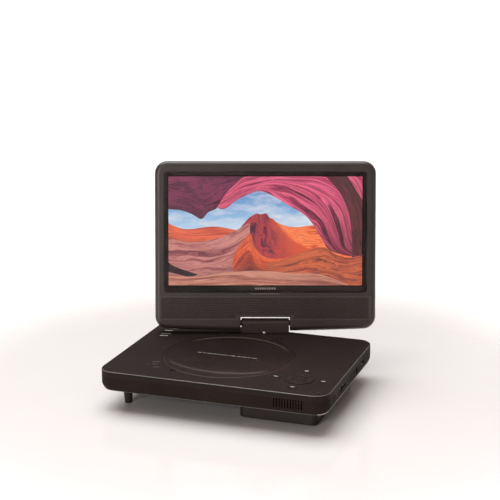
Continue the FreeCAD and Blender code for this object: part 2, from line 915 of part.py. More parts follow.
def battery_latch():
    """A sliding catch behind the pack, its stem through a slot in the floor."""
    middle = S.latch_x
    grip = slab("latch_grip", (middle, 51.5), 17.0, (13, 7.6, 1.8))
    stem = slab("latch_stem", (middle, 51.5), 18.6, (6.2, 4.2, 3.2))
    keeper = slab("latch_keeper", (middle, 51.5), FLOOR_INSIDE + 0.1, (10, 6.6, 1.2))
    grooves = [
        slab(f"latch_groove_{n}", (middle, 49.6 + 1.9 * n), 16.9, (9, 0.7, 0.7)) for n in range(3)
    ]
    node("battery_latch", "base", cut("latch_body", fuse("latch_solid", grip, stem, keeper), *grooves))


def feet():
    """Tapered feet that hold the left and back sides level with the pack."""
    items = []
    for n, (x, y) in enumerate(FEET):
        peg = cone(f"foot_cone_{n}", (x, y, 0), S.foot_tip, S.foot_top, S.floor_level + 3)
        items.append(cut(f"foot_{n}", peg, case_envelope(f"foot_clear_{n}")))
    node("tall_feet", "base", *items)


# ---------------------------------------------------------------- swivel and tilt hinge


def swivel_in_base():
    sleeve = cut(
        "bush_body",
        rod("bush_outer_rod", (0, S.swivel_y, S.bush_low), S.bush_outer, S.top_level - S.bush_low),
        rod("bush_bore", (0, S.swivel_y, 20), S.post_radius + S.running_gap, 30),
    )
    node("swivel_bush", "base", sleeve)
    bracket = cut(
        "bracket_body",
        box("bracket_sheet", (-28, 60.5, 31.0), (56, 24, 1.5)),
        rod("bracket_hole", (0, S.swivel_y, 25), S.bush_outer, 12),
        rod("bracket_clear", (38, 72, 25), 3.4, 12),
        rod("bracket_round", (*DECK, 25), S.well_radius + 2, 12),
    )
    node("swivel_bracket", "base", bracket)


def hinge_housing():
    """The barrel block: upright cheeks under a round top, bored for the two tilt shafts."""
    half = S.barrel_length / 2
    barrel = rod("barrel_rod", (-half, 0, S.axis_rise), S.barrel_radius, S.barrel_length, "x")
    cheek = box(
        "barrel_block",
        (-half, -S.barrel_radius, 0.4),
        (S.barrel_length, 2 * S.barrel_radius, S.axis_rise - 0.4),
    )
    collar = rod("collar", (0, 0, 0.1), 6.2, 1.6)
    bores = [
        rod("shaft_bore_left", (-half - 1, 0, S.axis_rise), S.shaft_radius, 13, "x"),
        rod("shaft_bore_right", (half - 12, 0, S.axis_rise), S.shaft_radius, 13, "x"),
        rod("post_bore", (0, 0, -1), S.post_radius, 4.5),
    ]
    solid = fuse("housing_solid", barrel, cheek, collar)
    node("hinge_housing", "hinge", cut("housing_body", solid, *bores))
    shafts = [
        rod("shaft_left", (-half - 15, 0, S.axis_rise), S.shaft_radius, 27, "x"),
        rod("shaft_right", (half - 12, 0, S.axis_rise), S.shaft_radius, 27, "x"),
    ]
    node("tilt_shafts", "hinge", *shafts)
    post_low = 3.5 - S.post_length
    node("swivel_post", "hinge", rod("post_rod", (0, 0, post_low), S.post_radius, S.post_length))
    for name, low, thick in (("swivel_washer", post_low + 1.9, 1.0), ("swivel_nut", post_low, 1.9)):
        disc = rod(name + "_disc", (0, 0, low), S.nut_radius, thick)
        bore = rod(name + "_bore", (0, 0, low - 1), S.post_radius, thick + 2)
        node(name, "hinge", cut(name + "_body", disc, bore))


# ---------------------------------------------------------------- lid

NOTCH_WALL = 2.0
LID_SCREWS = [(-107.0, 150), (107.0, 150), (-107.0, 40), (107.0, 40), (-52, 15), (52, 15)]


def lid_solid(name, inset, low, thick, **rim):
    """The lid's outline, drawn in by inset, from the depth low."""
    return padded(
        name,
        S.lid_half - inset,
        inset - S.lid_drop,
        S.lid_top - inset,
        S.lid_corner - inset,
        thick,
        (0, 0, low),
        bow=S.lid_bow - inset,
        **rim,
    )


def notch_box(name, grow):
    return box(
        name,
        (-S.notch_half - grow, -20, -10),
        (2 * S.notch_half + 2 * grow, S.notch_top + 20 + grow, 24),
    )


def shaft_holes(name):
    return rod(name, (-45, 0, 0), S.shaft_radius + 0.25, 90, "x")


def lid_bezel():
    depth = S.lid_front - S.lid_seam
    outer = lid_solid("bezel_outer", 0, S.lid_seam, depth, edge=S.front_edge, edge_on="high")
    inner = cut(
        "bezel_inner",
        lid_solid("bezel_hollow", S.wall, S.lid_seam - 1, depth - S.bezel_skin + 1),
        notch_box("bezel_notch_keep", NOTCH_WALL),
    )
    shell = cut("bezel_shell", outer, inner)
    posts = [
        rod(f"bezel_boss_{n}", (x, y, S.lid_seam), 2.8, depth - S.bezel_skin + 0.3)
        for n, (x, y) in enumerate(LID_SCREWS)
    ]
    glass_seat = padded(
        "glass_seat",
        S.glass_half + 0.1,
        S.glass_low - 0.1,
        S.glass_high + 0.1,
        S.glass_corner,
        5,
        (0, 0, S.lid_front - S.glass_thick - 0.3),
    )
    window = box(
        "picture_window",
        (-S.picture_half - 1, S.picture_low - 1, 0),
        (2 * S.picture_half + 2, S.picture_high - S.picture_low + 2, 12),
    )
    grille_seat = box(
        "grille_seat",
        (-S.grille_half - 0.1, S.grille_low - 0.1, S.lid_front - S.grille_skin - S.sheet_inset),
        (2 * S.grille_half + 0.2, S.grille_high - S.grille_low + 0.2, 5),
    )
    seat = cut("grille_recess", grille_seat, notch_box("grille_notch_keep", NOTCH_WALL - 0.1))
    sound_holes = [
        rod(f"sound_{side}", (x, S.speaker_y, 3), 9.0, 6)
        for side, x in (("left", -S.speaker_x), ("right", S.speaker_x))
    ]
    threads = [
        rod(f"bezel_thread_{n}", (x, y, -1), S.rod_radius, 5.6) for n, (x, y) in enumerate(LID_SCREWS)
    ]
    body = cut(
        "bezel_body",
        fuse("bezel_solid", shell, *posts),
        glass_seat,
        window,
        seat,
        *sound_holes,
        *threads,
        notch_box("bezel_notch", 0),
        shaft_holes("bezel_shaft_hole"),
    )
    node("lid_bezel", "lid", body)


def lid_rear():
    depth = S.lid_back + S.lid_seam
    outer = lid_solid("rear_outer", 0, -S.lid_back, depth, edge=S.back_edge, edge_on="low")
    inner = cut(
        "rear_inner",
        lid_solid(
            "rear_hollow",
            S.wall,
            S.wall - S.lid_back,
            depth,
            edge=S.back_edge - S.wall,
            edge_on="low",
        ),
        notch_box("rear_notch_keep", NOTCH_WALL),
    )
    shell = cut("rear_shell", outer, inner)
    posts = [
        rod(f"rear_boss_{n}", (x, y, S.wall - S.lid_back - 0.3), 2.8, depth - S.wall + 0.3)
        for n, (x, y) in enumerate(LID_SCREWS)
    ]
    bores = [
        rod(f"rear_bore_{n}", (x, y, -10), 1.4, 14) for n, (x, y) in enumerate(LID_SCREWS)
    ]
    sinks = [
        rod(f"rear_sink_{n}", (x, y, -10), 2.4, 5.3) for n, (x, y) in enumerate(LID_SCREWS)
    ]
    body = cut(
        "rear_body",
        fuse("rear_solid", shell, *posts),
        *bores,
        *sinks,
        notch_box("rear_notch", 0),
        shaft_holes("rear_shaft_hole"),
    )
    node("lid_rear_cover", "lid", body)
    screws = [
        fuse(
            f"lid_screw_{n}",
            rod(f"lid_head_{n}", (x, y, -6.1), 2.2, 1.4),
            rod(f"lid_shank_{n}", (x, y, -4.7), S.rod_radius, 8.6),
        )
        for n, (x, y) in enumerate(LID_SCREWS)
    ]
    node("lid_screws", "lid", *screws)


def lid_fronts():
    glass = padded(
        "glass_sheet",
        S.glass_half,
        S.glass_low,
        S.glass_high,
        S.glass_corner,
        S.glass_thick,
        (0, 0, S.lid_front - S.glass_thick - 0.3),
    )
    node("screen_glass", "lid", glass)
    panel = box(
        "grille_sheet",
        (-S.grille_half, S.grille_low, S.lid_front - S.grille_skin - S.sheet_inset),
        (2 * S.grille_half, S.grille_high - S.grille_low, S.grille_skin),
    )
    node("speaker_grille", "lid", cut("grille_body", panel, notch_box("grille_notch", NOTCH_WALL)))


def lid_insides():
    panel_half = S.picture_half + 3
    panel_low, panel_high = S.picture_low - 3, S.picture_high + 3
    height = panel_high - panel_low
    node(
        "lcd_panel",
        "lid",
        box("lcd_sheet", (-panel_half, panel_low, 3.4), (2 * panel_half, height, 2.6)),
    )
    node(
        "lcd_frame",
        "lid",
        box("lcd_tray", (-panel_half - 0.5, panel_low - 0.5, 1.9), (2 * panel_half + 1, height + 1, 1.5)),
    )
    node("lcd_board", "lid", plate("lcd_card", (-20, 74), -2.4, (96, 44, 1.2), 2.0))
    cones = [
        fuse(
            f"speaker_{side}",
            rod(f"speaker_rim_{side}", (x, S.speaker_y, 4.6), 10.6, 1.3),
            rod(f"speaker_can_{side}", (x, S.speaker_y, 0.8), 7.0, 4.0),
        )
        for side, x in (("left", -S.speaker_x), ("right", S.speaker_x))
    ]
    node("speakers", "lid", *cones)
    brackets = []
    for side, sign in (("left", -1), ("right", 1)):
        middle = sign * S.bracket_x
        start = middle - S.bracket_length / 2
        block = box(f"bracket_block_{side}", (start, -4.2, -3.9), (S.bracket_length, 8.4, 7.8))
        arm = box(f"bracket_arm_{side}", (start, 4, -3.9), (S.bracket_length, 22, 1.6))
        bore_radius = S.shaft_radius + S.running_gap
        bore = rod(f"bracket_bore_{side}", (start - 2, 0, 0), bore_radius, S.bracket_length + 4, "x")
        brackets.append(cut(f"lid_bracket_{side}", fuse(f"bracket_solid_{side}", block, arm), bore))
    node("lid_hinge_brackets", "lid", *brackets)


# ---------------------------------------------------------------- assembly


def frame_placements():
    """Where each frame stands, with the lid swivelled and leaned back."""
    x, y = S.frame_x.number, S.frame_y.number
    axis_y = y + S.swivel_y.number
    level = S.top_level.number
    swivel, lean = S.swivel_angle.number, S.lean_angle.number
    return {
        "base": Placement(Vector(x, y, 0), Rotation()),
        "hinge": Placement(Vector(x, axis_y, level), Rotation(swivel, 0, 0)),
        "lid": Placement(
            Vector(x, axis_y, level + S.axis_rise.number), Rotation(swivel, 0, 90 - lean)
        ),
    }


def check():
    """Stop at any object that failed, or any sub-part that isn't a sound shape."""
    for item in doc.Objects:
        if "Invalid" in item.State or "Error" in item.State:
            raise RuntimeError(f"{item.Name} failed: {item.State}")
    for item, _ in NODES:
        if item.Shape.isNull() or not item.Shape.isValid() or not item.Shape.Solids:
            raise RuntimeError(f"{item.Label} isn't a sound solid")


bottom_case()
top_case()
case_screws()
disc_tray()
disc_door()
spindle()
chassis_frame()
pickup_drive()
boards()
socket("picture_socket", S.picture_y)
socket("phones_socket", S.phones_y)
supply_socket()
power_switch()
volume_control()
keys()
small_top_parts()
battery()
battery_latch()
feet()
swivel_in_base()
hinge_housing()
lid_bezel()
lid_rear()
lid_fronts()
lid_insides()

placements = frame_placements()
for item, frame in NODES:
    item.Placement = placements[frame]
doc.recompute()
check()

os.makedirs("parts", exist_ok=True)
for item, _ in NODES:
    item.Shape.exportStep(f"parts/{item.Label}.step")
print(len(NODES), "sub-parts written")
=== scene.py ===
"""Looks of the portable disc player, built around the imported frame."""

import json
import math

import bmesh
import bpy
from mathutils import Matrix, Vector

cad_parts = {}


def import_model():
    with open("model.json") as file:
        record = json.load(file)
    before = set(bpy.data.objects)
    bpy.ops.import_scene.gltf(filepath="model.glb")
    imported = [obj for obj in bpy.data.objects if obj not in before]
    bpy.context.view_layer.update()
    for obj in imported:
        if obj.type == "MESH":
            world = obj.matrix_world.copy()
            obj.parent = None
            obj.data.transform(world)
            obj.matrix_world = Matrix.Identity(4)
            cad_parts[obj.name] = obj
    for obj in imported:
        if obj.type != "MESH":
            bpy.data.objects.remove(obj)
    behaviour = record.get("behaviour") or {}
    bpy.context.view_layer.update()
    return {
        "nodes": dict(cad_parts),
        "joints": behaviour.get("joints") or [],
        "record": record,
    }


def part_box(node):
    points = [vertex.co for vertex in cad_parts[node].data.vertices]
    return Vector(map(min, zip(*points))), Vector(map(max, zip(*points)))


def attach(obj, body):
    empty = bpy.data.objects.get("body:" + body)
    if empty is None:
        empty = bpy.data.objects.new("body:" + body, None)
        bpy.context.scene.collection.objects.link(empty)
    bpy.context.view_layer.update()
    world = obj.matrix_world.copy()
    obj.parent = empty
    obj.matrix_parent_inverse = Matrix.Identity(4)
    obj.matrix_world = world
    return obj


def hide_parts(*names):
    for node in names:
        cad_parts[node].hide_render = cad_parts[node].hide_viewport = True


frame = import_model()
NODES = frame["nodes"]
JOINTS = {joint["name"]: joint for joint in frame["joints"]}
MM = 0.001

# ---------------------------------------------------------------- frames of reference


def middle_of(name):
    low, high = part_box(name)
    return (low + high) / 2


def lid_frame():
    """x along the tilt axis, y up the screen, z out of the glass."""
    tilt = JOINTS["lid_tilt"]
    right = -Vector(tilt["axis"]).normalized()
    face = max(NODES["screen_glass"].data.polygons, key=lambda polygon: polygon.area)
    out = Vector(face.normal)
    if out.y > 0:
        out.negate()
    up = out.cross(right)
    turn = Matrix((right, up, out)).transposed().to_4x4()
    return Matrix.Translation(tilt["pos_m"]) @ turn


def hinge_frame():
    """x along the tilt axis, z up, on the swivel axis at the case's top."""
    swivel = JOINTS["lid_swivel"]
    right = -Vector(JOINTS["lid_tilt"]["axis"]).normalized()
    up = Vector((0, 0, 1))
    turn = Matrix((right, up.cross(right), up)).transposed().to_4x4()
    return Matrix.Translation(swivel["pos_m"]) @ turn


CASE = middle_of("base_top_case")
BASE = Matrix.Translation((CASE.x, CASE.y, 0))
LID = lid_frame()
HINGE = hinge_frame()


def corners_of(points):
    low = Vector([min(point[k] for point in points) for k in range(3)])
    high = Vector([max(point[k] for point in points) for k in range(3)])
    return low, high


def extent(name, place):
    """A node's lowest and highest corner in one of the frames, in mm."""
    back = place.inverted()
    low, high = corners_of([back @ vertex.co for vertex in NODES[name].data.vertices])
    return low / MM, high / MM


# ---------------------------------------------------------------- materials


def linear(red, green, blue):
    """A screen colour from 0 to 255 as the shader's own linear colour."""
    made = []
    for part in (red, green, blue):
        part /= 255
        made.append(part / 12.92 if part <= 0.04045 else ((part + 0.055) / 1.055) ** 2.4)
    return (*made, 1.0)


class Shader:
    """A short way to lay out a node tree."""

    def __init__(self, name):
        self.material = bpy.data.materials.new(name)
        self.material.use_nodes = True
        self.tree = self.material.node_tree
        self.body = self.tree.nodes["Principled BSDF"]
        source = self.add("ShaderNodeTexCoord")
        self.place, self.normal = source.outputs["Object"], source.outputs["Normal"]

    def add(self, kind, **values):
        made = self.tree.nodes.new(kind)
        for key, value in values.items():
            setattr(made, key, value)
        return made

    def link(self, start, end):
        self.tree.links.new(start, end)

    def noise(self, size, detail=2.0, rough=0.5, place=None, stretch=None):
        """Noise with features of about this size in mm."""
        made = self.add("ShaderNodeTexNoise")
        made.inputs["Scale"].default_value = 1 / (size * MM) if place is None else size
        made.inputs["Detail"].default_value = detail
        made.inputs["Roughness"].default_value = rough
        source = self.place if place is None else place
        if stretch:
            mapping = self.add("ShaderNodeMapping")
            mapping.inputs["Scale"].default_value = stretch
            self.link(source, mapping.inputs["Vector"])
            source = mapping.outputs["Vector"]
        self.link(source, made.inputs["Vector"])
        return made.outputs["Fac"]

    def remap(self, value, low, high, to_low, to_high):
        made = self.add("ShaderNodeMapRange")
        for key, number in zip(("From Min", "From Max", "To Min", "To Max"), (low, high, to_low, to_high)):
            made.inputs[key].default_value = number
        self.link(value, made.inputs["Value"])
        return made.outputs["Result"]

    def math(self, kind, first, second=None):
        made = self.add("ShaderNodeMath", operation=kind)
        for socket, value in zip(made.inputs, (first, second)):
            if isinstance(value, (int, float)):
                socket.default_value = value
            elif value is not None:
                self.link(value, socket)
        return made.outputs["Value"]

    def mix(self, amount, first, second):
        made = self.add("ShaderNodeMix", data_type="RGBA")
        for key, value in (("Factor", amount), ("A", first), ("B", second)):
            socket = next(s for s in made.inputs if s.name == key and s.enabled)
            if isinstance(value, (int, float, tuple)):
                socket.default_value = value
            else:
                self.link(value, socket)
        return next(s for s in made.outputs if s.enabled)

    def ramp(self, value, stops):
        made = self.add("ShaderNodeValToRGB")
        points = made.color_ramp.elements
        while len(points) < len(stops):
            points.new(0.5)
        for point, (spot, colour) in zip(points, stops):
            point.position, point.color = spot, colour
        self.link(value, made.inputs["Fac"])
        return made.outputs["Color"]

    def bump(self, height, depth):
        made = self.add("ShaderNodeBump")
        made.inputs["Distance"].default_value = depth * MM
        self.link(height, made.inputs["Height"])
        return made.outputs["Normal"]

    def set(self, **values):
        for key, value in values.items():
            self.body.inputs[key.replace("_", " ")].default_value = value
        return self


def shifted(colour, factor):
    return (*(min(1.0, part * factor) for part in colour[:3]), 1.0)


MOTTLE = 0.12


def moulded(name, colour, rough, grain=0.5, depth=0.02, specular=0.4, wear_and_edge_highlight=0.0, slope_highlight=0.0):
    """Moulded plastic: a fine sparked grain, uneven sheen and faint dust.

    Edge wear rubs its edges lighter, partly as wear and partly as a painted highlight along the edges; the
    slope setting lightens faces that lean away from level, a painted highlight on sloping faces.
    """
    shader = Shader(name)
    shader.set(Specular_IOR_Level=specular)
    cloud = shader.noise(35, 3)
    grains = shader.noise(grain, 2, 0.6)
    shade = shader.mix(
        shader.remap(cloud, 0.3, 0.7, 0, 1), shifted(colour, 1 - MOTTLE), shifted(colour, 1 + MOTTLE)
    )
    fine = shader.mix(shader.remap(grains, 0.35, 0.75, 0, 0.35), shade, shifted(colour, 1.7))
    dust = shader.noise(0.9, 1)
    dusty = shader.mix(shader.remap(dust, 0.72, 0.8, 0, 0.10), fine, linear(170, 165, 158))
    top, polish = dusty, 0.0
    # Lighter edges from the bevel mask: partly edge wear, partly a painted highlight along the edges.
    if wear_and_edge_highlight:
        edge = shader.add("ShaderNodeBevel", samples=4)
        edge.inputs["Radius"].default_value = 0.5 * MM
        flat = shader.add("ShaderNodeNewGeometry")
        turn = shader.add("ShaderNodeVectorMath", operation="DOT_PRODUCT")
        shader.link(edge.outputs["Normal"], turn.inputs[0])
        shader.link(flat.outputs["Normal"], turn.inputs[1])
        rubbed_and_highlit = shader.math(
            "MULTIPLY",
            shader.remap(turn.outputs["Value"], 0.995, 0.9, 0, wear_and_edge_highlight),
            shader.remap(shader.noise(4, 3), 0.35, 0.65, 0.4, 1),
        )
        top = shader.mix(rubbed_and_highlit, dusty, shifted(colour, 4.5))
        polish = shader.math("MULTIPLY", rubbed_and_highlit, -0.45)
    # Painted highlight: faces tilted a little from level are made lighter, most where they lean about 20
    # degrees.
    if slope_highlight:
        facing = shader.add("ShaderNodeSeparateXYZ")
        shader.link(shader.normal, facing.inputs["Vector"])
        tilt = shader.ramp(
            facing.outputs["Z"],
            [(0.0, (0, 0, 0, 1)), (0.6, (0, 0, 0, 1)), (0.93, (1, 1, 1, 1)), (0.996, (0, 0, 0, 1))],
        )
        top = shader.mix(shader.math("MULTIPLY", tilt, slope_highlight), top, shifted(colour, 4.0))
    shader.link(top, shader.body.inputs["Base Color"])
    sheen = shader.math(
        "ADD",
        shader.remap(cloud, 0.3, 0.7, rough - 0.04, rough + 0.05),
        shader.remap(shader.noise(6, 4), 0.3, 0.7, -0.03, 0.03),
    )
    shader.link(shader.math("ADD", sheen, polish), shader.body.inputs["Roughness"])
    shader.link(shader.bump(grains, depth), shader.body.inputs["Normal"])
    return shader.material


def metal(name, colour, rough, brush=(1, 1, 1), depth=0.01, size=0.4):
    """Bare metal with fine lines or grain, and smudges."""
    shader = Shader(name)
    shader.set(Metallic=1.0)
    lines = shader.noise(size, 2, 0.6, stretch=brush)
    smudge = shader.noise(9, 3)
    tone = shader.mix(shader.remap(lines, 0.3, 0.7, 0, 1), shifted(colour, 0.85), shifted(colour, 1.1))
    shader.link(
        shader.mix(shader.remap(smudge, 0.5, 0.8, 0, 0.3), tone, shifted(colour, 0.6)),
        shader.body.inputs["Base Color"],
    )
    shader.link(shader.remap(smudge, 0.3, 0.7, rough - 0.06, rough + 0.1), shader.body.inputs["Roughness"])
    shader.link(shader.bump(lines, depth), shader.body.inputs["Normal"])
    return shader.material


def printed(name, colour, rough=0.5):
    """Pad-printed ink: slightly uneven cover."""
    shader = Shader(name)
    patch = shader.noise(0.35, 3)
    shader.link(
        shader.mix(shader.remap(patch, 0.25, 0.6, 0, 1), shifted(colour, 0.72), colour),
        shader.body.inputs["Base Color"],
    )
    shader.link(shader.remap(patch, 0.3, 0.7, rough - 0.08, rough + 0.08), shader.body.inputs["Roughness"])
    shader.link(shader.bump(patch, 0.01), shader.body.inputs["Normal"])
    return shader.material


def board(name):
    """Green circuit board with a hint of copper tracks under the lacquer."""
    shader = Shader(name)
    tracks = shader.add("ShaderNodeTexVoronoi", feature="DISTANCE_TO_EDGE")
    tracks.inputs["Scale"].default_value = 1 / (3 * MM)
    shader.link(shader.place, tracks.inputs["Vector"])
    line = shader.remap(tracks.outputs["Distance"], 0.04, 0.08, 1, 0)
    shader.link(shader.mix(line, linear(20, 70, 45), linear(52, 110, 62)), shader.body.inputs["Base Color"])
    shader.link(shader.remap(shader.noise(5), 0.3, 0.7, 0.3, 0.45), shader.body.inputs["Roughness"])
    shader.link(shader.bump(line, 0.03), shader.body.inputs["Normal"])
    return shader.material


def clear(name, tint=(1, 1, 1, 1), rough=0.03):
    """Clear cover glass with faint smears."""
    shader = Shader(name)
    shader.set(Base_Color=tint, Transmission_Weight=1.0, IOR=1.3)
    smear = shader.noise(14, 4)
    shader.link(shader.remap(smear, 0.35, 0.75, rough, rough + 0.05), shader.body.inputs["Roughness"])
    return shader.material


CASE_TONE = (0.0120, 0.0080, 0.0071, 1)
LID_TONE = (0.026, 0.0182, 0.0163, 1)
DECK_TONE = (0.0158, 0.0118, 0.0108, 1)
DOOR_TONE = (0.0122, 0.0085, 0.0077, 1)
KEY_TONE = (0.0135, 0.0095, 0.0085, 1)
PAINT = {
    "case_black": moulded("case_plastic", DECK_TONE, 0.55, specular=0.05, wear_and_edge_highlight=0.5),
    "lid_black": moulded("lid_plastic", LID_TONE, 0.42, specular=0.5, wear_and_edge_highlight=0.3),
    # The door's slope setting paints highlights on the sloping walls of its finger hollows.
    "door_black": moulded(
        "door_plastic", DOOR_TONE, 0.36, grain=0.35, depth=0.012, specular=0.16, slope_highlight=0.9
    ),
    "key_black": moulded("key_plastic", KEY_TONE, 0.5, grain=0.3, depth=0.01, specular=0.08, wear_and_edge_highlight=0.3),
    "inner_black": moulded("inner_plastic", linear(30, 28, 28), 0.55),
    "white_print": printed("white_ink", linear(225, 222, 216)),
    "screen_glass": clear("cover_glass"),
    "lcd": moulded("lcd_sheet", linear(16, 15, 17), 0.25, depth=0.004),
    "steel": metal("plated_steel", linear(150, 150, 152), 0.34),
    "bright_steel": metal("bright_shaft", linear(200, 200, 203), 0.2, brush=(1, 6, 6)),
    "aluminium": metal("cast_aluminium", linear(165, 166, 168), 0.4, size=0.6, depth=0.03),
    "rubber": moulded("soft_rubber", linear(38, 35, 34), 0.75, grain=0.7, depth=0.04, specular=0.25),
    "board_green": board("board_lacquer"),
    "chip_black": moulded("chip_resin", linear(34, 34, 36), 0.5, depth=0.01),
    "cell_wrap": moulded("cell_sleeve", linear(52, 78, 120), 0.4, depth=0.01),
    "contact_brass": metal("contact_brass", linear(214, 178, 96), 0.28),
    "hub_white": moulded("hub_resin", linear(188, 184, 176), 0.45, grain=0.4, depth=0.01),
    "lens_glass": clear("lens_glass", linear(200, 205, 235)),
}


def paint_nodes():
    """Every CAD node gets the worked-up material of its own slot."""
    slot_of = {}
    for entry in frame["record"]["materials"]:
        for name in entry.get("applies_to") or entry.get("nodes") or []:
            slot_of[name] = entry["slot"]
    for name, item in NODES.items():
        slot = slot_of.get(name)
        if slot is None:
            slot = item.data.materials[0].name.split(".")[0] if item.data.materials else "case_black"
        if slot not in PAINT:
            slot = "case_black"
        item["tone"] = slot
        item.data.materials.clear()
        item.data.materials.append(PAINT[slot])


paint_nodes()
for dark_name in ("tilt_shafts", "power_lamp"):
    NODES[dark_name].data.materials[0] = PAINT["inner_black"]
PAINT["side_black"] = moulded("side_plastic", shifted(CASE_TONE, 1.5), 0.55, specular=0.02, wear_and_edge_highlight=0.4)
NODES["base_bottom_case"].data.materials[0] = PAINT["side_black"]
PAINT["hinge_black"] = moulded("hinge_plastic", shifted(LID_TONE, 1.35), 0.4, specular=0.6, wear_and_edge_highlight=0.3)
PAINT["pack_black"] = moulded("pack_plastic", shifted(CASE_TONE, 1.4), 0.5, specular=0.3, wear_and_edge_highlight=0.3)
for pack_name in ("battery_case", "battery_cover"):
    NODES[pack_name].data.materials[0] = PAINT["pack_black"]

# ---------------------------------------------------------------- pieces


def finish_piece(name, mesh, body, slot, material=None, replaces=(), smooth=35):
    item = bpy.data.objects.new(name, mesh)
    bpy.context.scene.collection.objects.link(item)
    item.data.materials.append(material or PAINT[slot])
    if smooth is not None:
        item.data.shade_smooth()
        item.data.set_sharp_from_angle(angle=math.radians(smooth))
    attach(item, body)
    if replaces:
        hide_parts(*replaces)
    return item


def mesh_from(name, build, place):
    """A mesh made by build(bmesh) in mm in one of the frames, moved to the row frame."""
    shape = bmesh.new()
    build(shape)
    bmesh.ops.scale(shape, vec=(MM, MM, MM), verts=shape.verts)
    bmesh.ops.transform(shape, matrix=place, verts=shape.verts)
    mesh = bpy.data.meshes.new(name)
    shape.to_mesh(mesh)
    shape.free()
    return mesh


def loop_of(shape, points):
    return [shape.verts.new(point) for point in points]


def bridge(shape, first, second, closed=True):
    count = len(first)
    for k in range(count if closed else count - 1):
        n = (k + 1) % count
        shape.faces.new((first[k], first[n], second[n], second[k]))


def ring(radius, level, count, x, y):
    """Points of a level circle."""
    angles = [2 * math.pi * k / count for k in range(count)]
    return [(x + radius * math.cos(angle), y + radius * math.sin(angle), level) for angle in angles]


def rounded(half_x, half_y, radius, steps=6):
    """Points of a rounded rectangle about the origin."""
    points = []
    for corner, (sx, sy) in enumerate(((1, 1), (-1, 1), (-1, -1), (1, -1))):
        for k in range(steps + 1):
            angle = math.pi / 2 * (corner + k / steps)
            points.append(
                (
                    sx * (half_x - radius) + radius * math.cos(angle),
                    sy * (half_y - radius) + radius * math.sin(angle),
                )
            )
    return points


def rim_copy(node, name, width, body, slot, segments=3, material=None):
    """A copy of a CAD node with its sharp edges softened, shown in its place."""
    source = NODES[node]
    shape = bmesh.new()
    shape.from_mesh(source.data)
    bmesh.ops.remove_doubles(shape, verts=shape.verts, dist=0.002 * MM)
    bmesh.ops.dissolve_limit(
        shape, angle_limit=math.radians(1.0), verts=shape.verts, edges=shape.edges
    )
    mesh = bpy.data.meshes.new(name)
    shape.to_mesh(mesh)
    shape.free()
    item = finish_piece(name, mesh, body, slot, material, (node,), smooth=30)
    bevel = item.modifiers.new("edges", "BEVEL")
    bevel.width = width * MM
    bevel.segments = segments
    bevel.limit_method = "ANGLE"
    bevel.angle_limit = math.radians(40)
    bevel.harden_normals = True
    bevel.use_clamp_overlap = True
    return item


# ---------------------------------------------------------------- disc door

DECK_LOW, DECK_HIGH = extent("disc_door", BASE)
DOOR_R = (DECK_HIGH.x - DECK_LOW.x) / 2
DOOR_X = (DECK_HIGH.x + DECK_LOW.x) / 2
DOOR_Y = DECK_LOW.y + DOOR_R
TOP = DECK_HIGH.z
DOOR_THICK = DECK_HIGH.z - DECK_LOW.z


def smooth_step(value, low, high):
    t = max(0.0, min(1.0, (value - low) / (high - low)))
    return t * t * (3 - 2 * t)


HOLLOW_DEPTH = 0.9
HOLLOW_OFFSET = 33
HOLLOW_START, HOLLOW_FULL = 79.0, 84.5
HOLLOW_RIM_IN, HOLLOW_RIM_OUT = 6.0, 3.2
DOOR_ROUND = 0.7


def door_level(x, y):
    """Height of the door's face at a point from its centre: two finger hollows along the rim."""
    radius = math.hypot(x, y)
    drop = 0.0
    for sign in (1, -1):
        inner = math.hypot(x, y * sign + HOLLOW_OFFSET)
        edge_in = smooth_step(inner, HOLLOW_START, HOLLOW_FULL)
        edge_out = 1 - smooth_step(radius, DOOR_R - HOLLOW_RIM_IN, DOOR_R - HOLLOW_RIM_OUT)
        if y * sign > 0:
            drop = max(drop, edge_in * edge_out)
    return -HOLLOW_DEPTH * drop


def disc_door():
    """The round door: rings that are close together where the hollows and the rounded rim are."""
    rims = [12, 24, 34, 42] + [45 + 0.75 * k for k in range(24)]
    rims = [r for r in rims if r < DOOR_R - 0.75]
    rims += [DOOR_R - inward for inward in (DOOR_ROUND, 0.35, 0.1, 0.0)]
    count = 160

    def build(shape):
        centre = shape.verts.new((DOOR_X, DOOR_Y, TOP))
        previous = None
        for radius in rims:
            fall = max(0.0, radius - (DOOR_R - DOOR_ROUND))
            round_off = DOOR_ROUND - math.sqrt(max(0.0, DOOR_ROUND**2 - fall * fall)) if fall > 0 else 0.0
            points = []
            for k in range(count):
                angle = 2 * math.pi * k / count
                x, y = radius * math.cos(angle), radius * math.sin(angle)
                level = TOP + door_level(x, y) - round_off
                points.append((DOOR_X + x, DOOR_Y + y, level))
            loop = loop_of(shape, points)
            if previous is None:
                for k in range(count):
                    shape.faces.new((centre, loop[k], loop[(k + 1) % count]))
            else:
                bridge(shape, previous, loop)
            previous = loop
        low = loop_of(shape, ring(DOOR_R, TOP - DOOR_THICK, count, DOOR_X, DOOR_Y))
        bridge(shape, previous, low)
        shape.faces.new(list(reversed(low)))
        bmesh.ops.recalc_face_normals(shape, faces=shape.faces)

    mesh = mesh_from("disc_door_round", build, BASE)
    return finish_piece("disc_door_round", mesh, "door", "door_black", replaces=("disc_door",))


LUG_SPREAD = 30.0
LUG_HALF = 4.0
LUG_OVERLAP = 0.6
LUG_BACK = 1.25


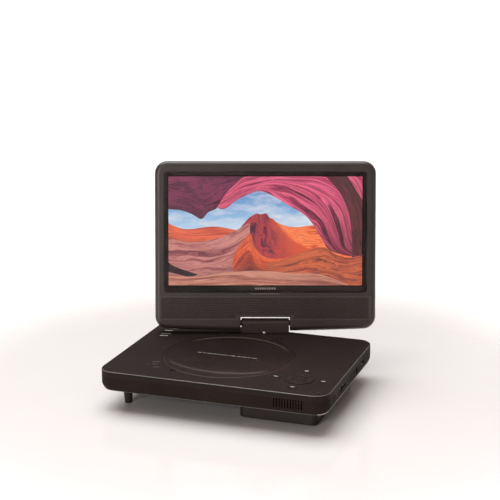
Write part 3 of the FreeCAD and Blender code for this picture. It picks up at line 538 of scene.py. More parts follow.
def door_lugs():
    """The two hinge lugs at the door's back, each rounded about its pin."""
    pin_low, pin_high = extent("door_hinge_pins", BASE)
    pivot_y = (pin_low.y + pin_high.y) / 2
    start = DOOR_Y + math.sqrt(DOOR_R**2 - (LUG_SPREAD + LUG_HALF) ** 2) - LUG_OVERLAP
    low = TOP - DOOR_THICK
    profile = [(start, low), (start, TOP), (pivot_y, TOP - 0.02)]
    for k in range(1, 11):
        angle = math.pi * k / 10
        profile.append((pivot_y + LUG_BACK * math.sin(angle), low + DOOR_THICK / 2 * (1 + math.cos(angle))))
    for side, sign in (("left", -1), ("right", 1)):
        x = DOOR_X + sign * LUG_SPREAD

        def build(shape):
            ends = [
                loop_of(shape, [(side_x, y, z) for y, z in profile])
                for side_x in (x - LUG_HALF, x + LUG_HALF)
            ]
            bridge(shape, ends[0], ends[1])
            shape.faces.new(ends[0])
            shape.faces.new(list(reversed(ends[1])))
            bmesh.ops.recalc_face_normals(shape, faces=shape.faces)

        mesh = mesh_from(f"door_lug_{side}", build, BASE)
        finish_piece(f"door_lug_{side}", mesh, "door", "door_black", smooth=30)


disc_door()
door_lugs()

# ---------------------------------------------------------------- speaker grille

GRILLE_LOW, GRILLE_HIGH = extent("speaker_grille", LID)
NOTCH_HALF, NOTCH_TOP = 27.4, 8.7
HOLE_PITCH, HOLE_RADIUS, HOLE_SIDES = 2.1, 0.64, 10
PLAIN_EDGE, PLAIN_END = 1.6, 1.5


def grille():
    """The speaker strip with its rows of holes, and the cloth behind it."""
    left, right = GRILLE_LOW.x, GRILLE_HIGH.x
    low, high = GRILLE_LOW.y, GRILLE_HIGH.y
    front, rear = GRILLE_HIGH.z, GRILLE_LOW.z
    lower_rows, upper_rows = 2, 10
    lower_step = (NOTCH_TOP - low - PLAIN_EDGE) / lower_rows
    upper_step = (high - PLAIN_EDGE - NOTCH_TOP) / upper_rows
    levels = [low + PLAIN_EDGE + lower_step * k for k in range(lower_rows)]
    levels += [NOTCH_TOP + upper_step * k for k in range(upper_rows)]

    def border(inset):
        """The strip's outline with the hinge's notch, drawn in by inset."""
        return [
            (left + inset, low + inset),
            (-NOTCH_HALF - inset, low + inset),
            (-NOTCH_HALF - inset, NOTCH_TOP + inset),
            (NOTCH_HALF + inset, NOTCH_TOP + inset),
            (NOTCH_HALF + inset, low + inset),
            (right - inset, low + inset),
            (right - inset, high - inset),
            (left + inset, high - inset),
        ]

    def quad(shape, x0, y0, x1, y1):
        shape.faces.new(loop_of(shape, [(x0, y0, front), (x1, y0, front), (x1, y1, front), (x0, y1, front)]))

    def cell(shape, x0, y0, x1, y1):
        cx, cy = (x0 + x1) / 2, (y0 + y1) / 2
        half_x, half_y = (x1 - x0) / 2, (y1 - y0) / 2
        outer, inner, deep = [], [], []
        for k in range(HOLE_SIDES):
            angle = 2 * math.pi * (k + 0.5) / HOLE_SIDES
            dx, dy = math.cos(angle), math.sin(angle)
            reach = min(half_x / max(abs(dx), 1e-6), half_y / max(abs(dy), 1e-6))
            outer.append((cx + reach * dx, cy + reach * dy, front))
            inner.append((cx + HOLE_RADIUS * dx, cy + HOLE_RADIUS * dy, front))
            deep.append((cx + HOLE_RADIUS * dx, cy + HOLE_RADIUS * dy, rear + 0.3))
        outer, inner, deep = (loop_of(shape, points) for points in (outer, inner, deep))
        bridge(shape, outer, inner)
        bridge(shape, inner, deep)

    def build(shape):
        quad(shape, left, low, -NOTCH_HALF, low + PLAIN_EDGE)
        quad(shape, NOTCH_HALF, low, right, low + PLAIN_EDGE)
        quad(shape, left, high - PLAIN_EDGE, right, high)
        for row, y0 in enumerate(levels):
            below = row < lower_rows
            y1 = y0 + (lower_step if below else upper_step)
            runs = [(left, -NOTCH_HALF), (NOTCH_HALF, right)] if below else [(left, right)]
            for start, end in runs:
                edge = PLAIN_END + (HOLE_PITCH / 2 if row % 2 else 0)
                count = int((end - start - edge - PLAIN_END) / HOLE_PITCH)
                first = start + edge
                quad(shape, start, y0, first, y1)
                for k in range(count):
                    cell(shape, first + k * HOLE_PITCH, y0, first + (k + 1) * HOLE_PITCH, y1)
                quad(shape, first + count * HOLE_PITCH, y0, end, y1)
        upper = loop_of(shape, [(x, y, front) for x, y in border(0)])
        lower = loop_of(shape, [(x, y, rear) for x, y in border(0)])
        bridge(shape, upper, lower)
        bmesh.ops.remove_doubles(shape, verts=shape.verts, dist=0.01)

    mesh = mesh_from("grille_mesh", build, LID)
    strip = moulded("grille_plastic", shifted(LID_TONE, 1.5), 0.42, specular=0.6)
    finish_piece("grille_mesh", mesh, "lid", "lid_black", strip, ("speaker_grille",), smooth=30)

    def cloth(shape):
        upper = loop_of(shape, [(x, y, rear + 0.28) for x, y in border(0.2)])
        lower = loop_of(shape, [(x, y, rear + 0.08) for x, y in border(0.2)])
        bridge(shape, upper, lower)
        shape.faces.new(upper)
        shape.faces.new(list(reversed(lower)))
        bmesh.ops.recalc_face_normals(shape, faces=shape.faces)

    weave = moulded("grille_cloth_weave", linear(24, 22, 22), 0.9, grain=0.25, depth=0.05, specular=0.1)
    finish_piece("grille_cloth", mesh_from("grille_cloth", cloth, LID), "lid", "inner_black", weave)


grille()

# ---------------------------------------------------------------- screen picture

PANEL_LOW, PANEL_HIGH = extent("lcd_panel", LID)
GLASS_LOW, GLASS_HIGH = extent("screen_glass", LID)
UNLIT_RIM = 3
PIC_LEFT, PIC_RIGHT = PANEL_LOW.x + UNLIT_RIM, PANEL_HIGH.x - UNLIT_RIM
PIC_LOW, PIC_HIGH = PANEL_LOW.y + UNLIT_RIM, PANEL_HIGH.y - UNLIT_RIM
LAYER = 0.04
SHEET_LIFT = 0.03


def spline(points, count):
    """A smooth open curve through the points, cut into equal steps of its parameter."""
    ends = [points[0], *points, points[-1]]
    made = []
    for n in range(count + 1):
        t = n / count * (len(points) - 1)
        k = min(int(t), len(points) - 2)
        f = t - k
        p0, p1, p2, p3 = (Vector(p) for p in ends[k : k + 4])
        made.append(
            0.5
            * (
                2 * p1
                + (p2 - p0) * f
                + (2 * p0 - 5 * p1 + 4 * p2 - p3) * f * f
                + (3 * p1 - p0 - 3 * p2 + p3) * f**3
            )
        )
    return made


def lit_sheet(name):
    """A glowing sheet's shader, its flow coordinates and their parts."""
    shader = Shader(name)
    flow = shader.add("ShaderNodeUVMap", uv_map="flow").outputs["UV"]
    parts = shader.add("ShaderNodeSeparateXYZ")
    shader.link(flow, parts.inputs["Vector"])
    shader.set(Base_Color=(0.02, 0.02, 0.02, 1), Roughness=0.5, Emission_Strength=1.0)
    return shader, flow, parts


def drift(name, near, far, colours, lines, layer, wave=0.25, along_lines=1.5, fade=None):
    """One landform: a sheet lofted from its near edge to its far edge, banded along its length."""
    along, across = 64, 14

    def build(shape):
        uv = shape.loops.layers.uv.new("flow")
        first, last = spline(near, along), spline(far, along)
        level = PANEL_HIGH.z + SHEET_LIFT + LAYER * layer
        grid = []
        for k in range(along + 1):
            column = []
            for m in range(across + 1):
                spot = first[k].lerp(last[k], m / across)
                s, t = (max(-0.004, min(1.004, part)) for part in spot)
                x = PIC_LEFT + (PIC_RIGHT - PIC_LEFT) * s
                y = PIC_LOW + (PIC_HIGH - PIC_LOW) * t
                column.append(shape.verts.new((x, y, level)))
            grid.append(column)
        for k in range(along):
            for m in range(across):
                spots = ((k, m), (k + 1, m), (k + 1, m + 1), (k, m + 1))
                face = shape.faces.new([grid[a][b] for a, b in spots])
                for corner, (a, b) in zip(face.loops, spots):
                    corner[uv].uv = (a / along, b / across)
                face.normal_update()
                if face.normal.z < 0:
                    face.normal_flip()

    shader, flow, parts = lit_sheet(name + "_rock")
    slow = shader.noise(2.5, 2, place=flow, stretch=(1.0, 2.0, 1))
    bent = shader.math("ADD", parts.outputs["Y"], shader.remap(slow, 0.3, 0.7, -wave / 2, wave / 2))
    bands = shader.add("ShaderNodeCombineXYZ")
    shader.link(shader.math("MULTIPLY", parts.outputs["X"], along_lines), bands.inputs["X"])
    shader.link(shader.math("MULTIPLY", bent, lines), bands.inputs["Y"])
    stripe = shader.noise(1.0, 6, 0.6, place=bands.outputs["Vector"])
    tone = shader.ramp(shader.remap(stripe, 0.36, 0.65, 0, 1), colours)
    if fade:
        axis, low, high, colour = fade
        tone = shader.mix(shader.remap(parts.outputs[axis], low, high, 0, 1), tone, colour)
    shader.link(tone, shader.body.inputs["Emission Color"])
    finish_piece(name, mesh_from(name, build, LID), "lid", "lcd", shader.material, smooth=None)


def sky():
    """The sheet behind the landforms: pale blue with clouds."""
    shader, flow, parts = lit_sheet("sky_light")
    blue = shader.ramp(
        parts.outputs["Y"],
        [(0.5, linear(176, 208, 232)), (0.7, linear(122, 168, 212)), (0.9, linear(86, 130, 190))],
    )
    cloud = shader.noise(4.5, 6, 0.62, place=flow, stretch=(1.0, 1.7, 1))
    tone = shader.mix(shader.remap(cloud, 0.44, 0.64, 0, 0.8), blue, linear(226, 226, 234))
    shader.link(tone, shader.body.inputs["Emission Color"])

    def build(shape):
        uv = shape.loops.layers.uv.new("flow")
        level = PANEL_HIGH.z + SHEET_LIFT
        spots = [(0, 0), (1, 0), (1, 1), (0, 1)]
        corners = [
            (PIC_LEFT if s == 0 else PIC_RIGHT, PIC_LOW if t == 0 else PIC_HIGH, level) for s, t in spots
        ]
        face = shape.faces.new(loop_of(shape, corners))
        for corner, spot in zip(face.loops, spots):
            corner[uv].uv = spot

    mesh = mesh_from("picture_sky", build, LID)
    finish_piece("picture_sky", mesh, "lid", "lcd", shader.material, smooth=None)


def stops(*colours):
    return [(k / (len(colours) - 1), linear(*colour)) for k, colour in enumerate(colours)]


def picture():
    """The lit canyon view in flat layers, laid out like the picture on the photographed screen.

    Points are fractions of the lit area: sky, far sand, butte, dunes, and a banded rock arch.
    """
    sky()
    drift(
        "picture_far_sand",
        [(-0.02, 0.2), (0.2, 0.2), (0.5, 0.2), (0.8, 0.2), (1.02, 0.2)],
        [(-0.02, 0.59), (0.03, 0.545), (0.10, 0.515), (0.24, 0.54), (0.40, 0.50), (0.62, 0.53), (1.02, 0.5)],
        stops((122, 38, 44), (196, 74, 56), (236, 112, 72), (214, 84, 60)),
        11, 1, fade=("Y", 0.75, 0.35, linear(96, 30, 44)),
    )
    drift(
        "picture_right_sand",
        [(0.56, 0.20), (0.70, 0.18), (0.84, 0.16), (0.95, 0.1)],
        [(0.54, 0.60), (0.59, 0.555), (0.66, 0.535), (0.76, 0.55), (0.94, 0.50)],
        stops((196, 66, 40), (238, 106, 58), (250, 140, 84), (226, 92, 52)),
        7, 2, wave=0.4, fade=("X", 0.3, -0.1, linear(150, 44, 44)),
    )
    drift(
        "picture_butte",
        [(0.31, 0.20), (0.45, 0.14), (0.62, 0.14), (0.80, 0.20)],
        [(0.34, 0.46), (0.385, 0.56), (0.42, 0.625), (0.455, 0.66), (0.475, 0.652), (0.505, 0.66),
         (0.52, 0.625), (0.545, 0.60), (0.59, 0.50), (0.66, 0.39), (0.78, 0.28)],
        stops((70, 26, 52), (132, 40, 66), (186, 62, 62), (108, 36, 58)),
        5, 3, wave=0.3, along_lines=9, fade=("X", 0.5, 0.85, linear(214, 82, 52)),
    )
    drift(
        "picture_left_dune",
        [(-0.02, 0.02), (0.12, 0.02), (0.28, 0.04), (0.42, 0.06)],
        [(-0.02, 0.44), (0.10, 0.40), (0.22, 0.415), (0.32, 0.48), (0.42, 0.58)],
        stops((88, 40, 54), (158, 84, 86), (208, 138, 128), (132, 64, 72)),
        8, 4, wave=0.18, along_lines=0.4, fade=("Y", 0.35, -0.1, linear(84, 38, 50)),
    )
    drift(
        "picture_bowl",
        [(0.34, 0.02), (0.42, 0.02), (0.56, 0.02), (0.80, 0.02)],
        [(0.33, 0.21), (0.345, 0.30), (0.39, 0.42), (0.425, 0.47), (0.445, 0.36), (0.49, 0.27), (0.56, 0.245),
         (0.66, 0.265), (0.74, 0.28), (0.80, 0.16)],
        stops((104, 34, 44), (190, 66, 42), (234, 104, 58), (150, 50, 46)),
        9, 5, wave=0.25, along_lines=1.2, fade=("Y", 0.7, 0.15, linear(70, 26, 40)),
    )
    drift(
        "picture_right_slope",
        [(0.50, 0.02), (0.76, -0.02), (0.90, -0.02), (1.02, -0.02)],
        [(0.50, 0.20), (0.60, 0.24), (0.70, 0.31), (0.80, 0.35), (0.86, 0.29), (0.93, 0.255), (1.02, 0.29)],
        stops((80, 32, 36), (156, 68, 50), (214, 106, 64), (110, 46, 42)),
        11, 6, wave=0.2, along_lines=1.0,
    )
    drift(
        "picture_fore_sand",
        [(-0.02, -0.02), (0.3, -0.02), (0.6, -0.02), (0.94, -0.02)],
        [(-0.02, 0.10), (0.14, 0.085), (0.30, 0.12), (0.46, 0.135), (0.62, 0.115), (0.78, 0.10), (0.94, 0.0)],
        stops((96, 46, 50), (166, 94, 80), (212, 148, 124), (124, 66, 62)),
        8, 7, wave=0.3, along_lines=0.8,
    )
    drift(
        "picture_shade",
        [(-0.02, 0.13), (0.04, 0.105), (0.10, 0.08), (0.15, 0.095)],
        [(-0.02, 0.235), (0.03, 0.175), (0.09, 0.135), (0.15, 0.1)],
        stops((26, 10, 20), (54, 22, 32)),
        3, 8,
    )
    drift(
        "picture_arch",
        [(0.245, 0.76), (0.262, 0.705), (0.30, 0.71), (0.345, 0.775), (0.405, 0.83), (0.465, 0.865),
         (0.53, 0.83), (0.61, 0.745), (0.70, 0.65), (0.75, 0.55), (0.79, 0.43), (0.835, 0.32), (0.93, 0.27)],
        [(0.25, 0.80), (0.27, 0.86), (0.33, 0.94), (0.40, 1.02), (0.50, 1.05), (0.62, 1.08), (0.76, 1.10),
         (0.90, 1.12), (1.02, 1.0), (1.06, 0.8), (1.06, 0.6), (1.06, 0.4), (1.06, 0.27)],
        stops((52, 14, 32), (150, 36, 76), (238, 104, 136), (176, 48, 88), (74, 18, 42)),
        17, 9, wave=0.14, along_lines=1.4, fade=("X", 0.62, 1.15, linear(66, 20, 34)),
    )
    drift(
        "picture_dark_column",
        [(0.80, 1.02), (0.88, 0.86), (0.93, 0.66), (0.945, 0.46), (0.95, 0.27)],
        [(0.915, 1.02), (0.965, 0.88), (1.02, 0.70), (1.02, 0.46), (1.02, 0.29)],
        stops((30, 12, 20), (108, 44, 48), (52, 20, 28), (84, 32, 40)),
        11, 10, wave=0.2,
    )
    drift(
        "picture_overhang",
        [(-0.02, 0.70), (0.06, 0.69), (0.12, 0.655), (0.17, 0.61), (0.205, 0.67), (0.25, 0.71),
         (0.255, 0.78)],
        [(-0.02, 1.02), (0.06, 1.02), (0.13, 1.02), (0.20, 1.02), (0.27, 1.02), (0.34, 1.02), (0.40, 1.02)],
        stops((52, 16, 38), (92, 26, 58), (136, 44, 86), (78, 22, 50)),
        8, 11, wave=0.35, fade=("Y", 0.25, -0.15, linear(50, 16, 38)),
    )


def screen_surround():
    """The black border printed on the back of the glass, with its opening over the picture."""
    half_x = (GLASS_HIGH.x - GLASS_LOW.x) / 2 - 0.1
    half_y = (GLASS_HIGH.y - GLASS_LOW.y) / 2 - 0.1
    centre_y = (GLASS_HIGH.y + GLASS_LOW.y) / 2
    mid_pic_y = (PIC_LOW + PIC_HIGH) / 2
    steps = 5

    def build(shape):
        outer = [(x, y + centre_y) for x, y in rounded(half_x, half_y, 3.9, steps)]
        inner = [
            (x, y + mid_pic_y)
            for x, y in rounded((PIC_RIGHT - PIC_LEFT) / 2, (PIC_HIGH - PIC_LOW) / 2, 0.05, steps)
        ]
        level = GLASS_LOW.z - 0.02
        a = loop_of(shape, [(x, y, level) for x, y in outer])
        b = loop_of(shape, [(x, y, level) for x, y in inner])
        c = loop_of(shape, [(x, y, level - 0.06) for x, y in inner])
        d = loop_of(shape, [(x, y, level - 0.06) for x, y in outer])
        bridge(shape, a, b)
        bridge(shape, b, c)
        bridge(shape, c, d)
        bridge(shape, d, a)
        bmesh.ops.recalc_face_normals(shape, faces=shape.faces)

    ink = moulded("border_ink", linear(14, 12, 12), 0.5, depth=0.002, specular=0.2)
    mesh = mesh_from("screen_border", build, LID)
    finish_piece("screen_border", mesh, "lid", "screen_glass", ink, smooth=20)


picture()
screen_surround()

# ---------------------------------------------------------------- softened CAD pieces

BODY_OF = {}
for body_name, members in frame["record"]["behaviour"]["bodies"].items():
    for member in members:
        BODY_OF[member] = body_name

KEY_WORDS = ("ok", "up", "down", "left", "right", "menu", "stop", "play", "source")
SOFTENED = {
    "hinge_housing": 0.5,
    "lid_bumpers": 0.3,
    "power_knob": 0.25,
    "volume_wheel": 0.2,
    "tall_feet": 0.5,
    **{f"key_{word}": 0.2 for word in KEY_WORDS},
    "battery_latch": 0.3,
}
for softened_name, softened_width in SOFTENED.items():
    rim_copy(
        softened_name,
        softened_name + "_soft",
        softened_width,
        BODY_OF[softened_name],
        NODES[softened_name]["tone"],
        material=PAINT["hinge_black"] if softened_name == "hinge_housing" else None,
    )

# ---------------------------------------------------------------- screws


def islands(name, place):
    """The separate bodies in a node, each as its lowest and highest corner in mm."""
    data = NODES[name].data
    back = place.inverted()
    group = list(range(len(data.vertices)))

    def root(k):
        while group[k] != k:
            group[k] = group[group[k]]
            k = group[k]
        return k

    nearest = {}
    for vertex in data.vertices:
        key = tuple(round(part / (0.01 * MM)) for part in vertex.co)
        group[root(vertex.index)] = root(nearest.setdefault(key, vertex.index))
    for edge in data.edges:
        first, second = edge.vertices
        group[root(first)] = root(second)
    found = {}
    for vertex in data.vertices:
        found.setdefault(root(vertex.index), []).append(back @ vertex.co / MM)
    boxes = [corners_of(points) for points in found.values()]
    return sorted(boxes, key=lambda box: (round(box[0].x), round(box[0].y)))


SCREW_SIDES = 24
RECESS_TURN = 0.35
HEAD_DEEP = 1.4
SHANK_RADIUS = 1.0


def cross_screws(node, name, place, body):
    """Screws whose heads face down the frame's z, each with a domed rim and a cross recess."""

    def build(shape):
        for low, high in islands(node, place):
            x, y = (low.x + high.x) / 2, (low.y + high.y) / 2
            radius = (high.x - low.x) / 2
            face = low.z
            levels = [
                (SHANK_RADIUS, high.z),
                (SHANK_RADIUS, face + HEAD_DEEP),
                (radius, face + HEAD_DEEP),
                (radius, face + 0.45),
                (radius * 0.93, face + 0.16),
                (radius * 0.78, face),
            ]
            loops = [loop_of(shape, ring(r, level, SCREW_SIDES, x, y)) for r, level in levels]
            for first, second in zip(loops, loops[1:]):
                bridge(shape, first, second)
            shape.faces.new(loops[0])
            arm, half = radius * 0.58, radius * 0.13
            cross = []
            for turn in range(4):
                angle = math.pi / 2 * turn + RECESS_TURN * (x > 0)
                cos, sin = math.cos(angle), math.sin(angle)
                for along, across in ((half, -half), (arm, -half), (arm, half)):
                    cross.append((x + along * cos - across * sin, y + along * sin + across * cos, face))
            mouth = loop_of(shape, cross)
            floor_loop = loop_of(
                shape, [(x + (a - x) * 0.8, y + (b - y) * 0.8, face + 0.6) for a, b, _ in cross]
            )
            bridge(shape, mouth, floor_loop)
            shape.faces.new(floor_loop)
            edges = []
            for loop in (loops[-1], mouth):
                edges += [shape.edges.get((loop[k - 1], loop[k])) for k in (*range(1, len(loop)), 0)]
            bmesh.ops.triangle_fill(shape, edges=edges, use_beauty=True)
        bmesh.ops.recalc_face_normals(shape, faces=shape.faces)

    finish_piece(name, mesh_from(name, build, place), body, "steel", PAINT["black_zinc"], (node,), smooth=35)


PAINT["black_zinc"] = metal("black_zinc", linear(70, 68, 70), 0.36)
cross_screws("lid_screws", "lid_screw_set", LID, "lid")
cross_screws("base_screws", "base_screw_set", BASE, "root")

# ---------------------------------------------------------------- edge beads: painted highlight lines


CASE_LOW, CASE_HIGH = extent("base_bottom_case", BASE)
CASE_CORNER = 15.0
CORNER_STEPS = 10


def highlight_bead(name, level, inset, thick, tone, rough, right_side_only=False):
    """A thin bead in a lighter, glossy plastic that runs round the lower half at one level, or along its
    right side: a painted highlight line.
    """
    sides = 8
    path = rounded(CASE_HIGH.x - inset, CASE_HIGH.y - inset, CASE_CORNER - inset, CORNER_STEPS)
    if right_side_only:
        per_corner, skipped = CORNER_STEPS + 1, 3
        path = path[3 * per_corner + skipped :] + path[: per_corner - skipped]

    def build(shape):
        loops = []
        count = len(path)
        for k in range(count):
            x, y = path[k]
            before, after = Vector(path[k - 1]), Vector(path[(k + 1) % count])
            if right_side_only:
                before, after = Vector(path[max(k - 1, 0)]), Vector(path[min(k + 1, count - 1)])
            along = (after - before).normalized()
            out = Vector((along.y, -along.x))
            loop = []
            for m in range(sides):
                angle = 2 * math.pi * m / sides
                reach, rise = thick * math.cos(angle), thick * math.sin(angle)
                loop.append((x + out.x * reach, y + out.y * reach, level + rise))
            loops.append(loop_of(shape, loop))
        for k in range(count - 1 if right_side_only else count):
            bridge(shape, loops[k], loops[(k + 1) % count])
        if right_side_only:
            shape.faces.new(loops[0])
            shape.faces.new(list(reversed(loops[-1])))
        bmesh.ops.recalc_face_normals(shape, faces=shape.faces)

    # The bead's lighter colour is a painted highlight along the case's edge.
    painted_highlight = moulded(name + "_plastic", tone, rough, grain=0.3, depth=0.004, specular=0.6)
    finish_piece(name, mesh_from(name, build, BASE), "root", "case_black", painted_highlight, smooth=60)


# Painted highlight lines: along the top edge, along the lower edge, and a much lighter one along the right
# side's lower edge, where a reflection of the floor is painted.
highlight_bead("edge_highlight_bead", extent("base_top_case", BASE)[1].z - 0.42, 0.42, 0.36, (0.100, 0.090, 0.085, 1), 0.22)
highlight_bead("lower_highlight_bead", CASE_LOW.z + 2.0, 2.95, 0.36, (0.036, 0.030, 0.028, 1), 0.35)
highlight_bead("side_bead", CASE_LOW.z + 2.25, 2.55, 0.5, (0.42, 0.37, 0.35, 1), 0.3, True)

# ---------------------------------------------------------------- printed marks


def bar_mark(
    name, x, y, level, length, width, place, body, turn=0.0, tall=0.03, slot="white_print", paint=None
):
    """A small printed bar with round ends."""

    def build(shape):
        points = []
        cos, sin = math.cos(math.radians(turn)), math.sin(math.radians(turn))
        for px, py in rounded(length / 2, width / 2, min(length, width) / 2 - 0.001, 4):
            points.append((x + px * cos - py * sin, y + px * sin + py * cos))
        low = loop_of(shape, [(a, b, level) for a, b in points])
        high = loop_of(shape, [(a, b, level + tall) for a, b in points])
        bridge(shape, low, high)
        shape.faces.new(high)
        shape.faces.new(list(reversed(low)))

    mesh = mesh_from(name, build, place)
    finish_piece(name, mesh, body, slot, paint, smooth=30)


def centre_in(name, place):
    low, high = extent(name, place)
    return (low + high) / 2, high


def key_marks():
    for name in ("key_menu", "key_stop", "key_play", "key_source"):
        middle, high = centre_in(name, BASE)
        bar_mark("mark_" + name, middle.x, middle.y, high.z, 3.8, 0.8, BASE, BODY_OF[name])
    for name, turn in (("key_up", 0), ("key_down", 0), ("key_left", 90), ("key_right", 90)):
        middle, high = centre_in(name, BASE)
        bar_mark("mark_" + name, middle.x, middle.y, high.z, 1.6, 0.4, BASE, BODY_OF[name], turn, paint=DIM)


def deck_marks():
    """Four short bars at the back left, and the lamp's three lines."""
    for n, (x, y, length) in enumerate(((-94, 33.5, 8.6), (-94, 40.5, 10), (-95.5, 51, 9), (-92, 59, 6.5))):
        bar_mark(f"mark_bar_{n}", x, y, TOP, length, 2.6, BASE, "root", 12, paint=FAINT)
    lamp, _ = centre_in("power_lamp", BASE)
    for n, (x, y, length) in enumerate(((5.0, 9.0, 7.2), (6.5, 2.4, 5.4), (11.0, -5.6, 6.4))):
        bar_mark(f"mark_lamp_{n}", lamp.x + x, lamp.y + y, TOP, length, 0.7, BASE, "root", 12, paint=DIM)


def door_marks():
    """A fine printed line of dashes across the door."""
    lengths = (5, 3, 6, 4, 3, 5, 2, 6, 4, 5, 3, 6)
    x = DOOR_X - 33.0
    for n, length in enumerate(lengths):
        bar_mark(f"mark_door_{n}", x + length / 2, DOOR_Y + 0.4, TOP, length, 1.0, BASE, "door", paint=FAINT)
        x += length + 0.9


def swivel_mark():
    """A pale stud low on the front of the hinge block, with a dark patch on each side of it: painted shade
    where a recess would be.
    """
    front = HINGE @ Matrix.Rotation(math.radians(90), 4, "X")
    collar = -extent("hinge_housing", HINGE)[0].y
    body = "hinge_block"
    x = -1.4
    bar_mark("mark_swivel_dot", x, 1.15, collar - 0.25, 2.2, 1.9, front, body, tall=0.25, paint=BRIGHT)
    for n, side in enumerate((-1, 1)):
        spot = x + side * 2.6
        # Dark patches beside the stud: painted shade in place of a recess.
        name = f"mark_swivel_{n}"
        bar_mark(name, spot, 1.1, collar - 0.6, 1.7, 1.5, front, body, tall=0.2, slot="inner_black")
    bar_mark("mark_swivel_light", x + 5.2, 1.3, BARREL_FACE, 1.6, 1.2, front, body, paint=DIM)


def side_marks():
    """Small printed marks beside the controls on the right side."""
    side = BASE @ Matrix.Rotation(math.radians(90), 4, "Y")
    power, _ = centre_in("power_knob", BASE)
    wheel, _ = centre_in("volume_wheel", BASE)
    phones, _ = centre_in("phones_socket", BASE)
    spots = (
        (power.y - 8.2, power.z + 0.3, 1.5, 1.6),
        (power.y + 5.6, power.z, 1.5, 1.6),
        (wheel.y - 11.0, wheel.z + 2.6, 2.2, 1.1),
        (wheel.y, wheel.z + 2.7, 2.2, 1.1),
        (wheel.y + 10.6, wheel.z + 2.6, 1.4, 1.2),
        (phones.y - 5.6, phones.z + 3.0, 1.4, 1.2),
    )
    for n, (y, z, tall, wide) in enumerate(spots):
        bar_mark(f"mark_side_{n}", -z, y, CASE_HIGH.x, tall, wide, side, "root", paint=FAINT)


def lid_marks():
    """A row of short bars on the glass border, and a row of fine dots under the glass."""
    row = GLASS_LOW.y + 4.2
    for n, length in enumerate((1.8, 1.5, 1.9, 1.6, 1.8, 1.4, 1.9, 1.6, 1.8)):
        bar_mark(f"mark_glass_{n}", (n - 4) * 2.4, row, GLASS_HIGH.z, length, 2.1, LID, "lid", paint=FAINT)
    row, level = GLASS_LOW.y - 1.3, extent("lid_bezel", LID)[1].z
    for n in range(14):
        bar_mark(f"mark_dot_{n}", (n - 6.5) * 2.15, row, level, 0.9, 0.9, LID, "lid", paint=FAINT)


TILT_AXIS = (extent("tilt_shafts", HINGE)[0].z + extent("tilt_shafts", HINGE)[1].z) / 2
BARREL_FACE = extent("hinge_housing", HINGE)[1].z - TILT_AXIS
BRIGHT = printed("bright_ink", linear(250, 248, 244))
FAINT = printed("grey_ink", linear(150, 146, 140))
DIM = printed("dim_ink", linear(96, 90, 86))
key_marks()
deck_marks()
door_marks()
lid_marks()
swivel_mark()
side_marks()

# ---------------------------------------------------------------- floor, light, camera


def put(name, data):
    item = bpy.data.objects.new(name, data)
    bpy.context.scene.collection.objects.link(item)
    return item


def floor():
    """A pale floor that is glossy under the object and dull far from it."""
    half = 9.0
    shape = bmesh.new()
    shape.faces.new(loop_of(shape, [(-half, -half, 0), (half, -half, 0), (half, half, 0), (-half, half, 0)]))
    mesh = bpy.data.meshes.new("floor")
    shape.to_mesh(mesh)
    shape.free()
    item = put("floor", mesh)
    shader = Shader("floor_white")
    shader.set(Specular_IOR_Level=1.0, IOR=2.0)
    reach = shader.add("ShaderNodeVectorMath", operation="LENGTH")
    shader.link(shader.place, reach.inputs[0])
    shader.link(shader.remap(reach.outputs["Value"], 0.22, 0.6, 0.07, 1.0), shader.body.inputs["Roughness"])
    shader.link(
        shader.mix(shader.noise(60, 2), (0.75, 0.74, 0.735, 1), (0.77, 0.765, 0.76, 1)),
        shader.body.inputs["Base Color"],
    )
    mesh.materials.append(shader.material)


def area_light(name, spot, aim, size, power, tone):
    data = bpy.data.lights.new(name, "AREA")
    data.shape = "RECTANGLE"
    data.size, data.size_y = size
    data.energy = power
    data.color = tone
    item = put(name, data)
    item.location = spot
    item.rotation_euler = (Vector(aim) - Vector(spot)).to_track_quat("-Z", "Y").to_euler()


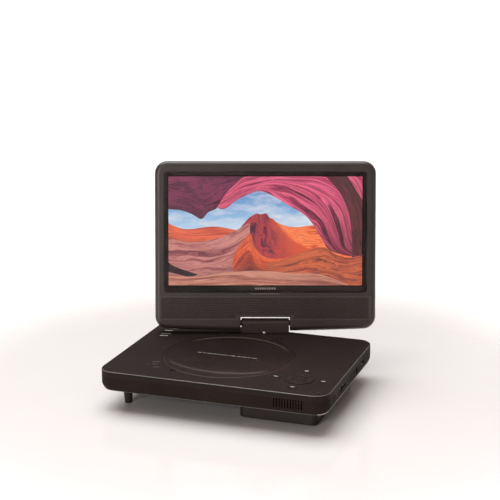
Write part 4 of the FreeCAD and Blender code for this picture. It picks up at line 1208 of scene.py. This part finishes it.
def world():
    """A white studio: bright overhead, dimmer towards the horizon, and plain white behind."""
    made = bpy.data.worlds.new("studio")
    bpy.context.scene.world = made
    made.use_nodes = True
    tree = made.node_tree
    soft = tree.nodes["Background"]
    place = tree.nodes.new("ShaderNodeTexCoord")
    parts = tree.nodes.new("ShaderNodeSeparateXYZ")
    tree.links.new(place.outputs["Generated"], parts.inputs["Vector"])
    ramp = tree.nodes.new("ShaderNodeValToRGB")
    tree.links.new(parts.outputs["Z"], ramp.inputs["Fac"])
    levels = ((0.0, 0.07), (0.30, 0.10), (0.6, 0.35), (1.0, 0.9))
    points = ramp.color_ramp.elements
    while len(points) < len(levels):
        points.new(0.5)
    for point, (spot, level) in zip(points, levels):
        point.position, point.color = spot, (level, level * 0.86, level * 0.81, 1)
    tree.links.new(ramp.outputs["Color"], soft.inputs["Color"])
    behind = tree.nodes.new("ShaderNodeBackground")
    behind.inputs["Color"].default_value = (1, 1, 1, 1)
    path = tree.nodes.new("ShaderNodeLightPath")
    mix = tree.nodes.new("ShaderNodeMixShader")
    tree.links.new(path.outputs["Is Camera Ray"], mix.inputs["Fac"])
    tree.links.new(soft.outputs["Background"], mix.inputs[1])
    tree.links.new(behind.outputs["Background"], mix.inputs[2])
    tree.links.new(mix.outputs["Shader"], tree.nodes["World Output"].inputs["Surface"])


def broad_light(name, towards, strength, spread):
    """A very soft light from far off, in the direction it comes from."""
    data = bpy.data.lights.new(name, "SUN")
    data.energy = strength
    data.angle = math.radians(spread)
    put(name, data).rotation_euler = Vector(towards).to_track_quat("Z", "Y").to_euler()


CAMERA_TURN, CAMERA_RISE = math.radians(19.04), math.radians(14.19)
CAMERA_REACH = 1.29119
CAMERA_AIM = Vector((0.01104, -0.0272, 0.146))
CAMERA_LENS = 96.91


def camera():
    """Stands to the right of the front and a little above, where a fit to the photographed edges put it."""
    away = Vector(
        (
            math.sin(CAMERA_TURN) * math.cos(CAMERA_RISE),
            -math.cos(CAMERA_TURN) * math.cos(CAMERA_RISE),
            math.sin(CAMERA_RISE),
        )
    )
    data = bpy.data.cameras.new("camera")
    data.sensor_width = 36
    data.lens = CAMERA_LENS
    data.clip_start, data.clip_end = 0.05, 50
    item = put("camera", data)
    item.location = CAMERA_AIM + away * CAMERA_REACH
    item.rotation_euler = (-away).to_track_quat("-Z", "Y").to_euler()
    bpy.context.scene.camera = item


bpy.context.scene.view_settings.view_transform = "Standard"
floor()
world()
broad_light("soft_top", (-0.24, 0.20, 1.0), 3.7, 58)
area_light("soft_front", (-0.6, -2.5, 0.75), (0, 0, 0.14), (0.9, 0.9), 30, (1, 0.94, 0.91))
camera()
